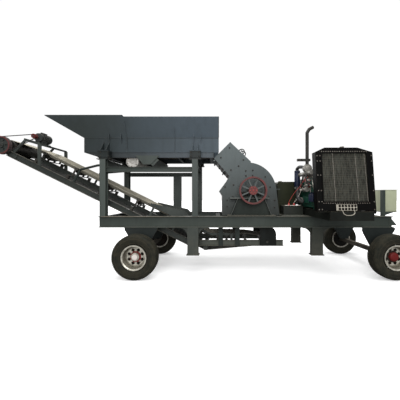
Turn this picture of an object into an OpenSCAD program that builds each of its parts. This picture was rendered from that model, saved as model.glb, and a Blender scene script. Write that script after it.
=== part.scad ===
// Mobile hammer crushing plant: a vibrating feed hopper, a hammer crusher, a diesel engine
// and a bent belt conveyor on a two-axle wheeled chassis. Millimetres, +Z up, ground at z = 0.
// +X runs along the chassis from the hopper to the engine, +Y goes to the far side.
// Pieces are drawn in the chassis frame: x = 0 at the rear end of the rails, y = 0 on the
// centreline. placed() moves them so that the origin is under the middle of the whole plant.

/* [Chassis] */
// Length of the two main rails
rail_l = 6240; // [5900:10:7500]
// Height of a main rail
rail_h = 240; // [200:5:260]
// Width of a rail's flanges
rail_flange_w = 120; // [90:5:140]
// Height of the rails' top above the ground
rail_top_z = 1223; // [1150:1:1300]
// Width over the two rails
chassis_w = 1370; // [1340:2:1650]

/* [Wheels] */
// Radius of a tyre
tyre_r = 450; // [370:5:470]
// Width of a tyre
tyre_w = 255; // [200:5:310]
// Radius of a rim's flange
rim_r = 250; // [220:2:280]
// Width over the tyres
track_over_w = 2200; // [2140:10:2600]
// Rear axle from the rails' rear end
rear_axle_x = 850; // [700:5:1000]
// Front axle from the rails' front end
front_axle_back = 255; // [200:5:500]

/* [Support legs] */
// Width of a support leg
leg_w = 233; // [160:1:280]
// Depth of a support leg, across the chassis
leg_d = 118; // [80:2:120]
// Height of the foot plates' underside above the ground
leg_clear_z = 394; // [250:1:500]
// Middle of the rear legs
rear_leg_x = 1960; // [1850:5:2100]
// Middle of the front legs
front_leg_x = 4620; // [4300:5:4800]

/* [Hopper and feeder] */
// Width of a hopper post
post_w = 125; // [100:5:150]
// Height of the posts' tops above the ground
post_top_z = 2445; // [2380:5:2480]
// Middle of the front posts
front_post_x = 2005; // [1900:5:2100]
// Length of the feeder trough
trough_l = 2980; // [2700:5:3600]
// Outer width of the feeder trough
trough_w = 1000; // [940:10:1060]
// Underside of the trough's side walls
trough_z = 2620; // [2600:5:2660]
// Height of the trough's side walls
trough_h = 320; // [260:5:400]
// Height of the flared hopper above the fold
hopper_h = 415; // [300:5:600]
// Flare of each hopper side
hopper_flare = 180; // [60:5:300]
// Run of the sloping loading apron
apron_run = 740; // [500:5:900]
// Thickness of the hopper and trough plates
plate_t = 10; // [6:1:14]

/* [Crusher] */
// Outer width of the crusher body
crusher_w = 840; // [700:10:860]
// Thickness of the crusher's side plates
side_t = 20; // [12:1:30]
// Thickness of the crusher's wrapper plates
shell_t = 16; // [10:1:20]
// Radius of the rotor shaft
shaft_r = 55; // [40:1:66]
// Height of the rotor axis above the ground
rotor_z = 1777; // [1740:1:1800]
// Outer radius of the flywheel
flywheel_r = 297; // [250:5:370]
// Radius that the hammers' tips reach
hammer_r = 450; // [380:5:480]

/* [Conveyor] */
// Slope of the inclined run, in degrees
slope = 26.3; // [24:0.1:28]
// Length of the inclined run, bend to head drum
incline_l = 4712; // [4200:1:5000]
// Width over the conveyor's side channels
conveyor_w = 900; // [860:10:940]
// Height of a side channel
channel_h = 130; // [100:1:150]
// Width of the belt laid flat
belt_w = 580; // [480:10:600]
// Thickness of the belt
belt_t = 10; // [8:1:14]
// Radius of the head drum
head_r = 160; // [130:5:165]
// Radius of the head sheave
sheave_r = 200; // [170:5:240]

/* [Engine] */
// Width of the engine skid
skid_w = 776; // [720:2:860]
// Height of a skid channel
skid_h = 160; // [120:1:200]
// How far the skid's near end lies from the centreline
skid_reach = 1490; // [1400:10:1700]
// Width of the radiator
radiator_w = 1050; // [860:10:1260]
// Height of the radiator above the skid
radiator_h = 1170; // [950:2:1380]

/* [Hidden] */
$fn = 64;

// Colours
frame_grey = [0.27, 0.31, 0.31];
plate_grey = [0.30, 0.34, 0.36];
crusher_grey = [0.37, 0.41, 0.41];
black = [0.08, 0.08, 0.08];
red = [0.66, 0.23, 0.22];
silver = [0.72, 0.72, 0.70];
engine_green = [0.05, 0.16, 0.12];
belt_grey = [0.50, 0.48, 0.42];

// Running gap at a shaft, and the gap left where curved faces meet
running_gap = 0.05;
touch_gap = 0.3;

// Rails
web_t = 10;
flange_t = 13;
rail_z = rail_top_z - rail_h;
half_w = chassis_w / 2;
rail_y = half_w - rail_flange_w / 2;
web_in_y = rail_y - web_t / 2;
lug_l = 100;
end_beam_w = 110;
front_axle_x = rail_l - front_axle_back;

// Wheels
axle_side = 90;
collar_r = 60;
spindle_r = 40;
wheel_y = (track_over_w - tyre_w) / 2;
tyre_in_y = track_over_w / 2 - tyre_w;
spindle_y = tyre_in_y + 140;
hub_r = 80;
bead_r = rim_r - 22;
dish = 150;

// Hopper frame and feeder
rail_x0 = -60;
rear_post_x = 35;
post_y = half_w - post_w / 2;
post_web = 8;
mid_post_x = 1403;
mid_post_w = 200;
side_beam_z = 2179;
side_beam_h = 102;
cross_beam_h = 160;
seat_h = 39;
spring_h = 142;
spring_top_z = post_top_z + seat_h + spring_h;
spring_y = trough_w / 2 + 105;
trough_x0 = rear_post_x - 499;
trough_x1 = trough_x0 + trough_l;
wall_y = trough_w / 2;
wall_in_y = wall_y - plate_t;
frame_h = 110;
fold_z = trough_z + trough_h;
hopper_top = fold_z + hopper_h;
rim_step = 30;
apron_top = hopper_top + rim_step;
apron_x1 = trough_x0 - apron_run;
step_x = trough_x0 + 949;
rib_xs = [step_x, step_x + 1062];
function flare_at(z) = hopper_flare * (z - fold_z) / hopper_h;

// Feeder exciter: corners of the bracket plates and the motors' axis
exciter = [[trough_x0 + 1129, trough_z - 65], [trough_x0 + 1662, trough_z - 67],
           [trough_x0 + 1473, trough_z - 262], [trough_x0 + 1307, trough_z - 262]];
exciter_axis = [trough_x0 + 1036, trough_z - 187];

// Crusher outline from its front foot, clockwise from the top of the inlet mouth
crusher_x = trough_x1 + 84;
crusher_y = crusher_w / 2;
rotor_x = crusher_x + 646;
mouth_top = [crusher_x + 173, 2873];
hood_start = [crusher_x + 638, 2435];
hood_c = [crusher_x + 556, 1760];
hood_r = 655;
hood_a0 = 83;
hood_a1 = 9.4;
back_foot = [crusher_x + 1284, rail_top_z];
front_foot = [crusher_x, rail_top_z];
front_low = [crusher_x, 1662];
front_nose = [crusher_x - 72, 1772];
front_step = [crusher_x + 101, 2008];
chute_heel = [crusher_x + 157, 2105];
mouth_low = [crusher_x - 191, 2507];
function on_hood(a) = hood_c + hood_r * [cos(a), sin(a)];

// Rotor line: bearings, flywheel on the near end, pulley and guard on the far end
bearing_y = crusher_y + 50;
bearing_w = 100;
flywheel_y = bearing_y + bearing_w + 30;
flywheel_w = 120;
pedestal_y = crusher_y + 165;
shelf_t = 20;
shelf_z = rotor_z - 160;
base_t = 16;
pulley_r = 300;
guard_t = 4;
guard_w = 210;
pulley_y = pedestal_y + 30;

// Engine, its skid and what stands beside it
deck_x = crusher_x + 1310;
deck_t = 6;
deck_z = rail_top_z + deck_t;
tank_x = deck_x + 50;
battery_x = tank_x + 30;
skid_x = deck_x + 566;
skid_top = rail_top_z + skid_h;
engine_x = skid_x + 284;
engine_w = 560;
engine_y0 = -950;
engine_y1 = 80;
engine_z0 = skid_top + 37;
engine_z1 = skid_top + 667;
head_z1 = engine_z1 + 180;
crank_z = 1650;
stack_x = engine_x - 330;
stack_y = -600;
radiator_x = engine_x + 42;
radiator_lean = 5.6;
radiator_y = 50 - skid_reach;
radiator_d = 140;
radiator_z1 = skid_top + radiator_h;
channel_top_z = radiator_z1 - 97;

// Cabinet
cabinet_x = rail_l - 74;
cabinet_w = 270;
cabinet_y0 = -520;
cabinet_y1 = 30;
cabinet_z0 = 1316;
cabinet_z1 = 1790;
stand_w = 70;

// Conveyor: u runs up the incline from the bend, v stands on the channels' underside
bend_x = crusher_x - 740;
bend_z = 540;
level_end_x = bend_x + 2106;
tail_x = rotor_x + 349;
channel_flange = 50;
channel_web = 7;
web_y = conveyor_w / 2 - channel_flange;
web_in_edge = web_y - channel_web;
head_v = 172;
head_shaft_r = 25;
drum_gap = 0.6;
carry_v = head_v + head_r + drum_gap;
return_v = 44;
trough_tilt = 30;
level_share = 0.65;
flat_half = 100;
wing = belt_w / 2 - flat_half;
level_z = bend_z + 190;
tail_r = 95;
tail_z = level_z - tail_r - drum_gap;
bend_roller_r = 60;
idler_r = 40;
sheave_y = conveyor_w / 2 + 15;
sheave_w = 70;
motor_shaft_r = 19;
motor_pulley_r = 50;
motor_r = 95;
stand_tilt = 16.2;
function incline(u, v) = [bend_x - u * cos(slope) + v * sin(slope),
                          bend_z + u * sin(slope) + v * cos(slope)];
function slope_z(x, v) = bend_z + (bend_x - x) * tan(slope) + v / cos(slope);
head = incline(incline_l, head_v);
motor = head + [725, 200];
bend_roller = incline(-345, return_v + drum_gap + bend_roller_r);

// Overall plan, for the origin
plan_x0 = head[0] - max(sheave_r, head_r + drum_gap + belt_t);
plan_x1 = cabinet_x + cabinet_w;
plan_y0 = -skid_reach;
plan_y1 = track_over_w / 2;

// ---------------------------------------------------------------- helpers

module placed() {
    translate([-(plan_x0 + plan_x1) / 2, -(plan_y0 + plan_y1) / 2, 0]) children();
}

// The same piece on the near side and on the far side
module both_sides() {
    children();
    mirror([0, 1, 0]) children();
}

// A box between two corners
module block(a, b) {
    translate(a) cube(b - a);
}

// A flat outline in x and z, as thick as t, from y towards +Y
module slab(y, t) {
    translate([0, y + t, 0]) rotate([90, 0, 0]) linear_extrude(t) children();
}

// An outline in y and z, drawn along x
module along_x(x, l) {
    translate([x, 0, 0]) rotate([90, 0, 90]) linear_extrude(l) children();
}

// The outline of a plate from p to q, with its thickness to the right of that direction
module strip(p, q, t) {
    d = (q - p) / norm(q - p);
    n = [d[1], -d[0]] * t;
    polygon([p, q, q + n, p + n]);
}

// A round bar from p to q
module bar(p, q, r) {
    d = q - p;
    translate(p) rotate([0, acos(d[2] / norm(d)), atan2(d[1], d[0])]) cylinder(r = r, h = norm(d));
}

// A round bar through a list of points, with ball corners
module bent_bar(points, r) {
    for (i = [0 : len(points) - 2]) bar(points[i], points[i + 1], r);
    for (i = [1 : len(points) - 2]) translate(points[i]) sphere(r = r + 0.01);
}

// A cylinder along +Y
module drum(x, y, z, r, w) {
    translate([x, y, z]) rotate([-90, 0, 0]) cylinder(r = r, h = w);
}

// An I section standing on y = 0, as wide as w and as high as h
module i_section(w, h, tw, tf) {
    translate([-w / 2, 0]) square([w, tf]);
    translate([-w / 2, h - tf]) square([w, tf]);
    translate([-tw / 2, 0]) square([tw, h]);
}

// Local x goes down the incline and z is v, from the bend
module on_incline() {
    translate([bend_x, 0, bend_z]) rotate([0, slope, 0]) children();
}

// ---------------------------------------------------------------- chassis

// Main rails, with a pulling lug on the web at the front end
module rails() {
    lug_t = 20;
    color(frame_grey) both_sides() {
        along_x(rail_x0, rail_l - rail_x0) translate([-rail_y, rail_z])
            i_section(rail_flange_w, rail_h, web_t, flange_t);
        slab(-rail_y - lug_t / 2, lug_t)
            polygon([[rail_l - 60, rail_z + 177], [rail_l, rail_z + 177],
                     [rail_l + lug_l, rail_z + 60], [rail_l + lug_l, rail_z + 50],
                     [rail_l, rail_z + 40], [rail_l - 60, rail_z + 40]]);
    }
}

module cross_beam(x, z, w, h) {
    translate([x, web_in_y, z]) rotate([90, 0, 0]) linear_extrude(2 * web_in_y)
        i_section(w, h, 8, 10);
}

module crossmembers() {
    inner_w = 100;
    inner_h = 160;
    color(frame_grey) {
        for (x = [rail_x0 + end_beam_w / 2, rail_l - 60 - end_beam_w / 2])
            cross_beam(x, rail_z + flange_t, end_beam_w, rail_h - 2 * flange_t);
        for (x = [crusher_x - 100, deck_x + 50, skid_x + 224, front_axle_x - 485])
            cross_beam(x, rail_top_z - 23 - inner_h, inner_w, inner_h);
    }
}

module deck_plate() {
    color(frame_grey) block([deck_x, -half_w + 50, rail_top_z], [skid_x - 6, half_w - 50, deck_z]);
}

// Box legs under the rails with curved gussets and foot plates
module support_legs() {
    y0 = -half_w;
    gusset = 200;
    tip = 12;
    foot_t = 16;
    lip = 20;
    color(frame_grey) both_sides()
        for (x = [rear_leg_x, front_leg_x]) {
            block([x - leg_w / 2, y0, leg_clear_z + foot_t], [x + leg_w / 2, y0 + leg_d, rail_z]);
            block([x - leg_w / 2 - lip, y0 - lip, leg_clear_z],
                  [x + leg_w / 2 + lip, y0 + leg_d + lip, leg_clear_z + foot_t]);
            slab(y0 + leg_d / 2 - 6, 12) difference() {
                translate([x - leg_w / 2 - gusset, rail_z - gusset - tip])
                    square([leg_w + 2 * gusset, gusset + tip]);
                for (s = [-1, 1])
                    translate([x + s * (leg_w / 2 + gusset), rail_z - gusset - tip])
                        circle(r = gusset, $fn = 96);
            }
        }
}

// ---------------------------------------------------------------- running gear

module axles() {
    beam_y = tyre_in_y - 45;
    collar_y = tyre_in_y - 2;
    color(black) for (x = [rear_axle_x, front_axle_x]) {
        block([x - axle_side / 2, -beam_y, tyre_r - axle_side / 2],
              [x + axle_side / 2, beam_y, tyre_r + axle_side / 2]);
        both_sides() drum(x, -collar_y, tyre_r, collar_r, collar_y - beam_y + 10);
        drum(x, -spindle_y, tyre_r, spindle_r, 2 * spindle_y);
    }
}

// Arched leaf packs: the bow's radius from its chord and rise
leaf_chord = 600;
leaf_rise = 42;
leaf_t = 50;
hanger_x = [rear_axle_x, front_axle_x - 60];
hanger_l = 700;
bow_r = (leaf_chord * leaf_chord / 4 + leaf_rise * leaf_rise) / (2 * leaf_rise);

// Welded boxes that carry the axle under the leaf packs
module axle_brackets() {
    low = tyre_r + axle_side / 2;
    color(frame_grey) both_sides() for (x = hanger_x) {
        slab(-rail_y - 40, 80) difference() {
            polygon([[x - 285, rail_z], [x + 285, rail_z], [x + 285, rail_z - 120],
                     [x + 90, low], [x - 90, low], [x - 285, rail_z - 120]]);
            translate([x, rail_z - bow_r]) difference() {
                circle(r = bow_r + 400, $fn = 180);
                circle(r = bow_r - leaf_t - touch_gap, $fn = 180);
            }
        }
        slab(-rail_y - 52, 12) polygon([[x - hanger_l / 2, rail_z], [x + hanger_l / 2, rail_z],
            [x + hanger_l / 2, rail_z - 45], [x + 110, low + 60], [x - 110, low + 60],
            [x - hanger_l / 2, rail_z - 45]]);
    }
}

module spring_leaves() {
    color(black) both_sides() for (x = hanger_x)
        slab(-rail_y - 40, 80) {
            intersection() {
                translate([x, rail_z - bow_r]) difference() {
                    circle(r = bow_r, $fn = 180);
                    circle(r = bow_r - leaf_t, $fn = 180);
                }
                translate([x - leaf_chord / 2, rail_z - 200]) square([leaf_chord, 200]);
            }
            translate([x - 60, rail_z - 30]) square([120, 30]);
        }
}

// A tyre on the near side, turned about its axle
module tyre(x) {
    h = tyre_w / 2;
    bead = bead_r + touch_gap;
    color(black) translate([x, -wheel_y, tyre_r]) rotate([90, 0, 0])
        rotate_extrude($fn = 96) polygon([
            [bead, -h + 41], [bead + 14, -h + 13], [rim_r + 4, -h + 13], [rim_r + 40, -h + 2],
            [tyre_r - 100, -h], [tyre_r - 45, -h + 12], [tyre_r - 12, -h + 26],
            [tyre_r, -h + 48], [tyre_r, h - 48], [tyre_r - 12, h - 26], [tyre_r - 45, h - 12],
            [tyre_r - 100, h], [rim_r + 40, h - 2], [rim_r + 4, h - 13], [bead + 14, h - 13],
            [bead, h - 41]]);
}

// A deep rim with its disc, hub and cap: dished on the outer side, bored for the spindle
module rim(x) {
    h = tyre_w / 2;
    disc = h - dish;
    barrel_r = bead_r - 8;
    hub_in = 7 - h;
    hub_out = disc + 60;
    color(silver) translate([x, -wheel_y, tyre_r]) rotate([90, 0, 0]) difference() {
        union() {
            rotate_extrude($fn = 96) {
                polygon([[barrel_r, -h + 6], [rim_r, -h + 6], [rim_r, -h + 12],
                         [bead_r + 14, -h + 12], [bead_r, -h + 40], [bead_r, h - 40],
                         [bead_r + 14, h - 12], [rim_r, h - 12], [rim_r, h - 6],
                         [bead_r + 8, h - 6], [barrel_r, h - 14]]);
                polygon([[hub_r - 5, disc], [176, disc + 4], [barrel_r + 2, disc - 34],
                         [barrel_r + 2, disc - 14], [180, disc + 20], [hub_r - 5, disc + 16]]);
            }
            translate([0, 0, hub_in]) cylinder(r = hub_r, h = hub_out - hub_in);
            translate([0, 0, hub_out]) cylinder(r = 62, h = 26);
        }
        for (i = [0 : 7]) rotate([0, 0, i * 45 + 22])
            translate([145, 0, disc - 30]) cylinder(r = 28, h = 60, $fn = 32);
        translate([0, 0, hub_in - 1])
            cylinder(r = spindle_r + running_gap, h = 1 + spindle_y - tyre_in_y);
    }
}

module tyre_rear_near() { tyre(rear_axle_x); }
module rim_rear_near() { rim(rear_axle_x); }
module tyre_rear_far() { mirror([0, 1, 0]) tyre(rear_axle_x); }
module rim_rear_far() { mirror([0, 1, 0]) rim(rear_axle_x); }
module tyre_front_near() { tyre(front_axle_x); }
module rim_front_near() { rim(front_axle_x); }
module tyre_front_far() { mirror([0, 1, 0]) tyre(front_axle_x); }
module rim_front_far() { mirror([0, 1, 0]) rim(front_axle_x); }

// ---------------------------------------------------------------- hopper frame

// A post on the near side, standing on the rail, with its flanges along the chassis
module post(x, w, top) {
    translate([x, -half_w, rail_top_z]) linear_extrude(top - rail_top_z)
        i_section(w, post_w, post_web, 12);
}

module hopper_posts() {
    color(frame_grey) {
        both_sides() for (x = [rear_post_x, front_post_x]) post(x, post_w, post_top_z);
        mirror([0, 1, 0]) post(mid_post_x, mid_post_w, side_beam_z);
    }
}

module hopper_beams() {
    x0 = rear_post_x + post_web / 2;
    x1 = front_post_x - post_web / 2;
    inner_y = half_w - post_w;
    color(frame_grey) {
        both_sides() along_x(x0, x1 - x0) translate([-post_y, side_beam_z])
            i_section(90, side_beam_h, 8, 10);
        for (x = [rear_post_x, front_post_x])
            translate([x, inner_y, post_top_z - cross_beam_h]) rotate([90, 0, 0])
                linear_extrude(2 * inner_y) i_section(100, cross_beam_h, 8, 10);
    }
}

// Spring boxes on flange plates at the posts' tops
module feeder_springs() {
    color(black) both_sides() for (x = [rear_post_x, front_post_x]) {
        block([x - 130, -half_w, post_top_z], [x + 130, -half_w + 145, post_top_z + 14]);
        block([x - 90, -spring_y - 50, post_top_z + 14], [x + 90, -spring_y + 50, post_top_z + seat_h]);
        block([x - 115, -spring_y - 60, post_top_z + seat_h],
              [x + 115, -spring_y + 60, spring_top_z]);
    }
}

// Brackets on the trough's walls that stand on the springs
module spring_ears() {
    plate = 15;
    out_y = spring_y + 75;
    color(frame_grey) both_sides() for (x = [rear_post_x, front_post_x]) {
        block([x - 120, -out_y, spring_top_z], [x + 120, -wall_y, spring_top_z + plate]);
        for (s = [-1, 1]) along_x(x + s * 60 - 6, 12)
            polygon([[-out_y + 10, spring_top_z + plate], [-wall_y, spring_top_z + plate],
                     [-wall_y, spring_top_z + 225]]);
    }
}

// ---------------------------------------------------------------- feeder and hopper

// Side walls with upright ribs
module trough_walls() {
    color(plate_grey) both_sides() {
        block([trough_x0, -wall_y, trough_z], [trough_x1, -wall_in_y, fold_z]);
        for (x = rib_xs) block([x - 5, -wall_y - 14, trough_z + 80], [x + 5, -wall_y, fold_z]);
    }
}

// Two beams under the floor, cut back at the loading end, with bars across
module trough_frame() {
    y0 = -wall_in_y;
    w = 60;
    x1 = trough_x1 - 120;
    z0 = trough_z - frame_h;
    color(black) {
        both_sides() slab(y0, w)
            polygon([[trough_x0, trough_z], [x1, trough_z], [x1, z0], [trough_x0 + 364, z0]]);
        for (x = [trough_x0 + 480, trough_x0 + 2060, x1 - 60])
            block([x - 25, y0 + w, z0 + 10], [x + 25, -y0 - w, trough_z]);
    }
}

// Floor and back wall in one bent plate between the side walls
module trough_floor() {
    color(plate_grey) {
        block([trough_x0, -wall_in_y, trough_z], [trough_x1 - 116, wall_in_y, trough_z + plate_t]);
        block([trough_x0, -wall_in_y, trough_z], [trough_x0 + plate_t, wall_in_y, fold_z]);
    }
}

// Flared sides. Their rear edge follows the apron, and their top steps up over it
module hopper_sides() {
    out = wall_y + flare_at(apron_top);
    color(plate_grey) both_sides() {
        intersection() {
            along_x(apron_x1, trough_x1 - apron_x1)
                polygon([[-wall_y, fold_z], [-wall_in_y, fold_z], [plate_t - out, apron_top],
                         [-out, apron_top]]);
            slab(-2 * out, 2 * out)
                polygon([[trough_x0, fold_z], [trough_x1, fold_z], [trough_x1, hopper_top],
                         [step_x, hopper_top], [step_x - rim_step, apron_top],
                         [apron_x1, apron_top]]);
        }
        for (i = [0, 1]) {
            top = hopper_top - 85 - 120 * i;
            along_x(rib_xs[i] - 5, 10)
                polygon([[-wall_y, fold_z], [-wall_y - 14, fold_z],
                         [-wall_y - 14 - flare_at(top), top], [-wall_y - flare_at(top), top]]);
        }
    }
}

// What lies between the flared sides, as a section in y and z
module between_sides(z0, z1) {
    top = wall_in_y + flare_at(z1);
    polygon([[-wall_in_y, z0], [wall_in_y, z0], [wall_in_y, fold_z], [top, z1], [-top, z1],
             [-wall_in_y, fold_z]]);
}

// The sloping plate that closes the loading end
module hopper_apron() {
    color(plate_grey) intersection() {
        slab(-2 * wall_y, 4 * wall_y)
            strip([trough_x0, fold_z], [apron_x1, apron_top], plate_t);
        along_x(apron_x1 - 50, apron_run + 100) between_sides(fold_z - 1, apron_top);
    }
}

// Closes the discharge end above the flow of stone
module hopper_end_plate() {
    color(plate_grey) along_x(trough_x1 - plate_t, plate_t) between_sides(fold_z - 60, hopper_top);
}

// Bracket plates under the trough, the motors' sloping seat and a bar on the other edge
module exciter_mount() {
    t = 12;
    side = trough_z - frame_h - 14;
    seat_run = exciter[3] - exciter[0];
    seat_low = exciter[0] + seat_run * (exciter[0][1] - side) / -seat_run[1];
    edge_run = exciter[2] - exciter[1];
    edge_low = exciter[1] + edge_run * (exciter[1][1] - side) / -edge_run[1];
    color(frame_grey) {
        both_sides() slab(-wall_in_y - t, t) polygon(exciter);
        slab(-wall_in_y + 60, 2 * wall_in_y - 120) strip(exciter[3], exciter[0], 16);
        slab(-wall_in_y, 2 * wall_in_y) {
            strip(exciter[3], seat_low, 16);
            strip(edge_low, exciter[2], -60);
        }
    }
}

// Two exciter motors on the sloping seat, each with its end caps
module exciter_motors() {
    cap_w = 40;
    cap_r = 140;
    body_r = 118;
    end_y = wall_in_y - 65;
    body_w = 330;
    seat_run = exciter[3] - exciter[0];
    tilt = atan2(-seat_run[1], seat_run[0]);
    n = [-seat_run[1], seat_run[0]] / norm(seat_run);
    drop = abs((exciter_axis - exciter[0]) * n);
    color(silver) both_sides() {
        drum(exciter_axis[0], -end_y, exciter_axis[1], cap_r, cap_w);
        drum(exciter_axis[0], -end_y + cap_w, exciter_axis[1], body_r, body_w);
        drum(exciter_axis[0], -end_y + cap_w + body_w, exciter_axis[1], cap_r, cap_w / 2);
        translate([exciter_axis[0], 0, exciter_axis[1]]) rotate([0, tilt, 0])
            for (y = [60, 250]) block([-70, -end_y + y, 60], [70, -end_y + y + 50, drop]);
    }
}

// ---------------------------------------------------------------- crusher

module crusher_outline() {
    steps = 12;
    polygon(concat([mouth_top, hood_start],
                   [for (i = [0 : steps]) on_hood(hood_a0 + (hood_a1 - hood_a0) * i / steps)],
                   [back_foot, front_foot, front_low, front_nose, front_step, chute_heel,
                    mouth_low]));
}

module crusher_sides() {
    color(crusher_grey) both_sides() difference() {
        slab(-crusher_y, side_t) crusher_outline();
        drum(rotor_x, -crusher_y - 5, rotor_z, shaft_r + 35, side_t + 10);
    }
}

// Between the side plates: the curved hood with the rear wall, and the folded front wall
module crusher_shell() {
    y = -crusher_y + side_t;
    w = -2 * y;
    lip = [hood_c[0] + 744, 1804];
    far = 2 * hood_r;
    color(crusher_grey) {
        slab(y, w) {
            intersection() {
                translate(hood_c) difference() {
                    circle(r = hood_r - 3, $fn = 120);
                    circle(r = hood_r - 3 - shell_t, $fn = 120);
                }
                polygon([hood_c, hood_c + far * [cos(hood_a0), sin(hood_a0)],
                         hood_c + far * [1, 1], hood_c + far * [cos(hood_a1), sin(hood_a1)]]);
            }
            strip(on_hood(hood_a1), back_foot, shell_t);
            translate([lip[0] - 100, lip[1]]) square([100, 16]);
        }
        slab(y, w) {
            strip(front_foot, front_low, shell_t);
            strip(front_low, front_nose, shell_t);
            strip(front_nose, front_step, shell_t);
        }
    }
}

// Floor of the inlet chute with ribs under it, and its roof with two lifting loops
module chute_plates() {
    y = -crusher_y + side_t;
    w = -2 * y;
    floor_run = mouth_low - chute_heel;
    floor_d = floor_run / norm(floor_run);
    floor_n = [floor_d[1], -floor_d[0]];
    roof_run = hood_start - mouth_top;
    spot = mouth_top + roof_run / 2;
    color(crusher_grey) {
        slab(y, w) strip(chute_heel, mouth_low, shell_t);
        for (s = [0.3, 0.9]) slab(-crusher_y, crusher_w)
            strip(chute_heel + floor_run * s, chute_heel + floor_run * s - 48 * floor_n, 14);
        slab(y, w) strip(mouth_top, hood_start, shell_t);
        both_sides() translate([spot[0], -crusher_y + 120, spot[1]])
            rotate([0, atan2(-roof_run[1], roof_run[0]), 0]) rotate([90, 0, 0])
                rotate_extrude(angle = 180, $fn = 48) translate([66, 0]) circle(r = 9, $fn = 24);
    }
}

// Stands on the rails that carry the rotor's bearings
module bearing_pedestals() {
    x = rotor_x - 25;
    top = shelf_z - shelf_t;
    low = rail_top_z + base_t;
    color(frame_grey) both_sides() {
        block([x - 460, -pedestal_y, top], [x + 404, -crusher_y, shelf_z]);
        block([x - 521, -half_w + 5, rail_top_z], [x + 529, -crusher_y, low]);
        slab(-pedestal_y + 10, pedestal_y - crusher_y - 10) {
            strip([x - 296, top], [x - 445, low], -16);
            strip([x + 445, low], [x + 298, top], -16);
        }
        slab(-crusher_y - 120, 14)
            polygon([[x - 440, low], [x + 440, low], [x + 290, top], [x - 290, top]]);
    }
}

module bearing_housings() {
    color(frame_grey) both_sides() difference() {
        union() {
            drum(rotor_x, -bearing_y - bearing_w, rotor_z, shaft_r + 40, bearing_w);
            block([rotor_x - 95, -bearing_y - bearing_w, shelf_z],
                  [rotor_x + 95, -bearing_y, rotor_z]);
            block([rotor_x - 210, -bearing_y - bearing_w, shelf_z],
                  [rotor_x + 210, -bearing_y, shelf_z + 42]);
        }
        drum(rotor_x, -bearing_y - bearing_w - 5, rotor_z, shaft_r + running_gap, bearing_w + 10);
    }
}

// Shaft, discs, hammer rods and hammers
module hammer_rotor() {
    discs = 5;
    disc_t = 24;
    span = crusher_w - 2 * side_t - 60;
    pitch = (span - disc_t) / (discs - 1);
    y0 = -flywheel_y - flywheel_w + 20;
    y1 = pedestal_y + guard_w - 20;
    color(frame_grey) {
        drum(rotor_x, y0, rotor_z, shaft_r, y1 - y0);
        drum(rotor_x, -span / 2, rotor_z, shaft_r + 30, span);
        for (i = [0 : discs - 1])
            drum(rotor_x, -span / 2 + i * pitch, rotor_z, hammer_r * 0.62, disc_t);
        for (a = [0 : 90 : 270]) translate([rotor_x, 0, rotor_z]) rotate([0, a, 0]) {
            translate([hammer_r / 2, -span / 2, 0]) rotate([-90, 0, 0])
                cylinder(r = 22, h = span);
            for (i = [0 : discs - 2])
                block([hammer_r / 2 - 35, -span / 2 + i * pitch + disc_t + 25, -45],
                      [hammer_r, -span / 2 + (i + 1) * pitch - 25, 45]);
        }
    }
}

// Spoked wheel with a blind hub over the shaft's near end
module flywheel() {
    spoke_w = 30;
    rim_t = 36;
    hub = shaft_r + 40;
    y = -flywheel_y - flywheel_w;
    color(red) difference() {
        union() {
            drum(rotor_x, y, rotor_z, hub, flywheel_w);
            difference() {
                drum(rotor_x, y + 4, rotor_z, flywheel_r, flywheel_w - 8);
                drum(rotor_x, y, rotor_z, flywheel_r - rim_t, flywheel_w);
            }
            for (i = [0 : 7]) translate([rotor_x, y + 35, rotor_z]) rotate([0, i * 45 + 22, 0])
                block([hub - 10, 0, -spoke_w / 2], [flywheel_r - rim_t / 2, 40, spoke_w / 2]);
        }
        drum(rotor_x, y + 20 - running_gap, rotor_z, shaft_r + running_gap, flywheel_w);
    }
}

module drive_pulley() {
    color(black) difference() {
        drum(rotor_x, pulley_y, rotor_z, pulley_r, guard_w - 60);
        drum(rotor_x, pulley_y - 5, rotor_z, shaft_r + running_gap, guard_w);
    }
}

// Outline round the rotor's pulley and the engine's pulley, with a margin
module guard_outline(margin) {
    hull() {
        translate([rotor_x, rotor_z]) circle(r = pulley_r + 40 + margin, $fn = 48);
        translate([engine_x, crank_z]) circle(r = 225 + margin, $fn = 48);
    }
}

// Sheet guard over the belts from the engine to the rotor
module belt_guard() {
    y = pedestal_y;
    color(black) difference() {
        slab(y, guard_w) guard_outline(guard_t);
        slab(y + guard_t, guard_w - 2 * guard_t) guard_outline(0);
        drum(rotor_x, y - 5, rotor_z, shaft_r + 30, guard_w / 2);
        drum(engine_x, y - 5, crank_z, 60, guard_w / 2);
    }
}

// ---------------------------------------------------------------- engine

module engine_skid() {
    x1 = skid_x + skid_w;
    flange = 70;
    color(black) {
        for (x = [skid_x, x1 - flange])
            block([x, -skid_reach, rail_top_z], [x + flange, half_w, skid_top]);
        for (y = [-skid_reach, -half_w - 110, -65, half_w - 70])
            block([skid_x + flange, y, rail_top_z], [x1 - flange, y + 70, skid_top]);
        for (x = [radiator_x - radiator_w / 2, x1])
            block([x, radiator_y, skid_top - 12],
                  [x == x1 ? radiator_x + radiator_w / 2 : skid_x, radiator_y + radiator_d, skid_top]);
    }
}

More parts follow.
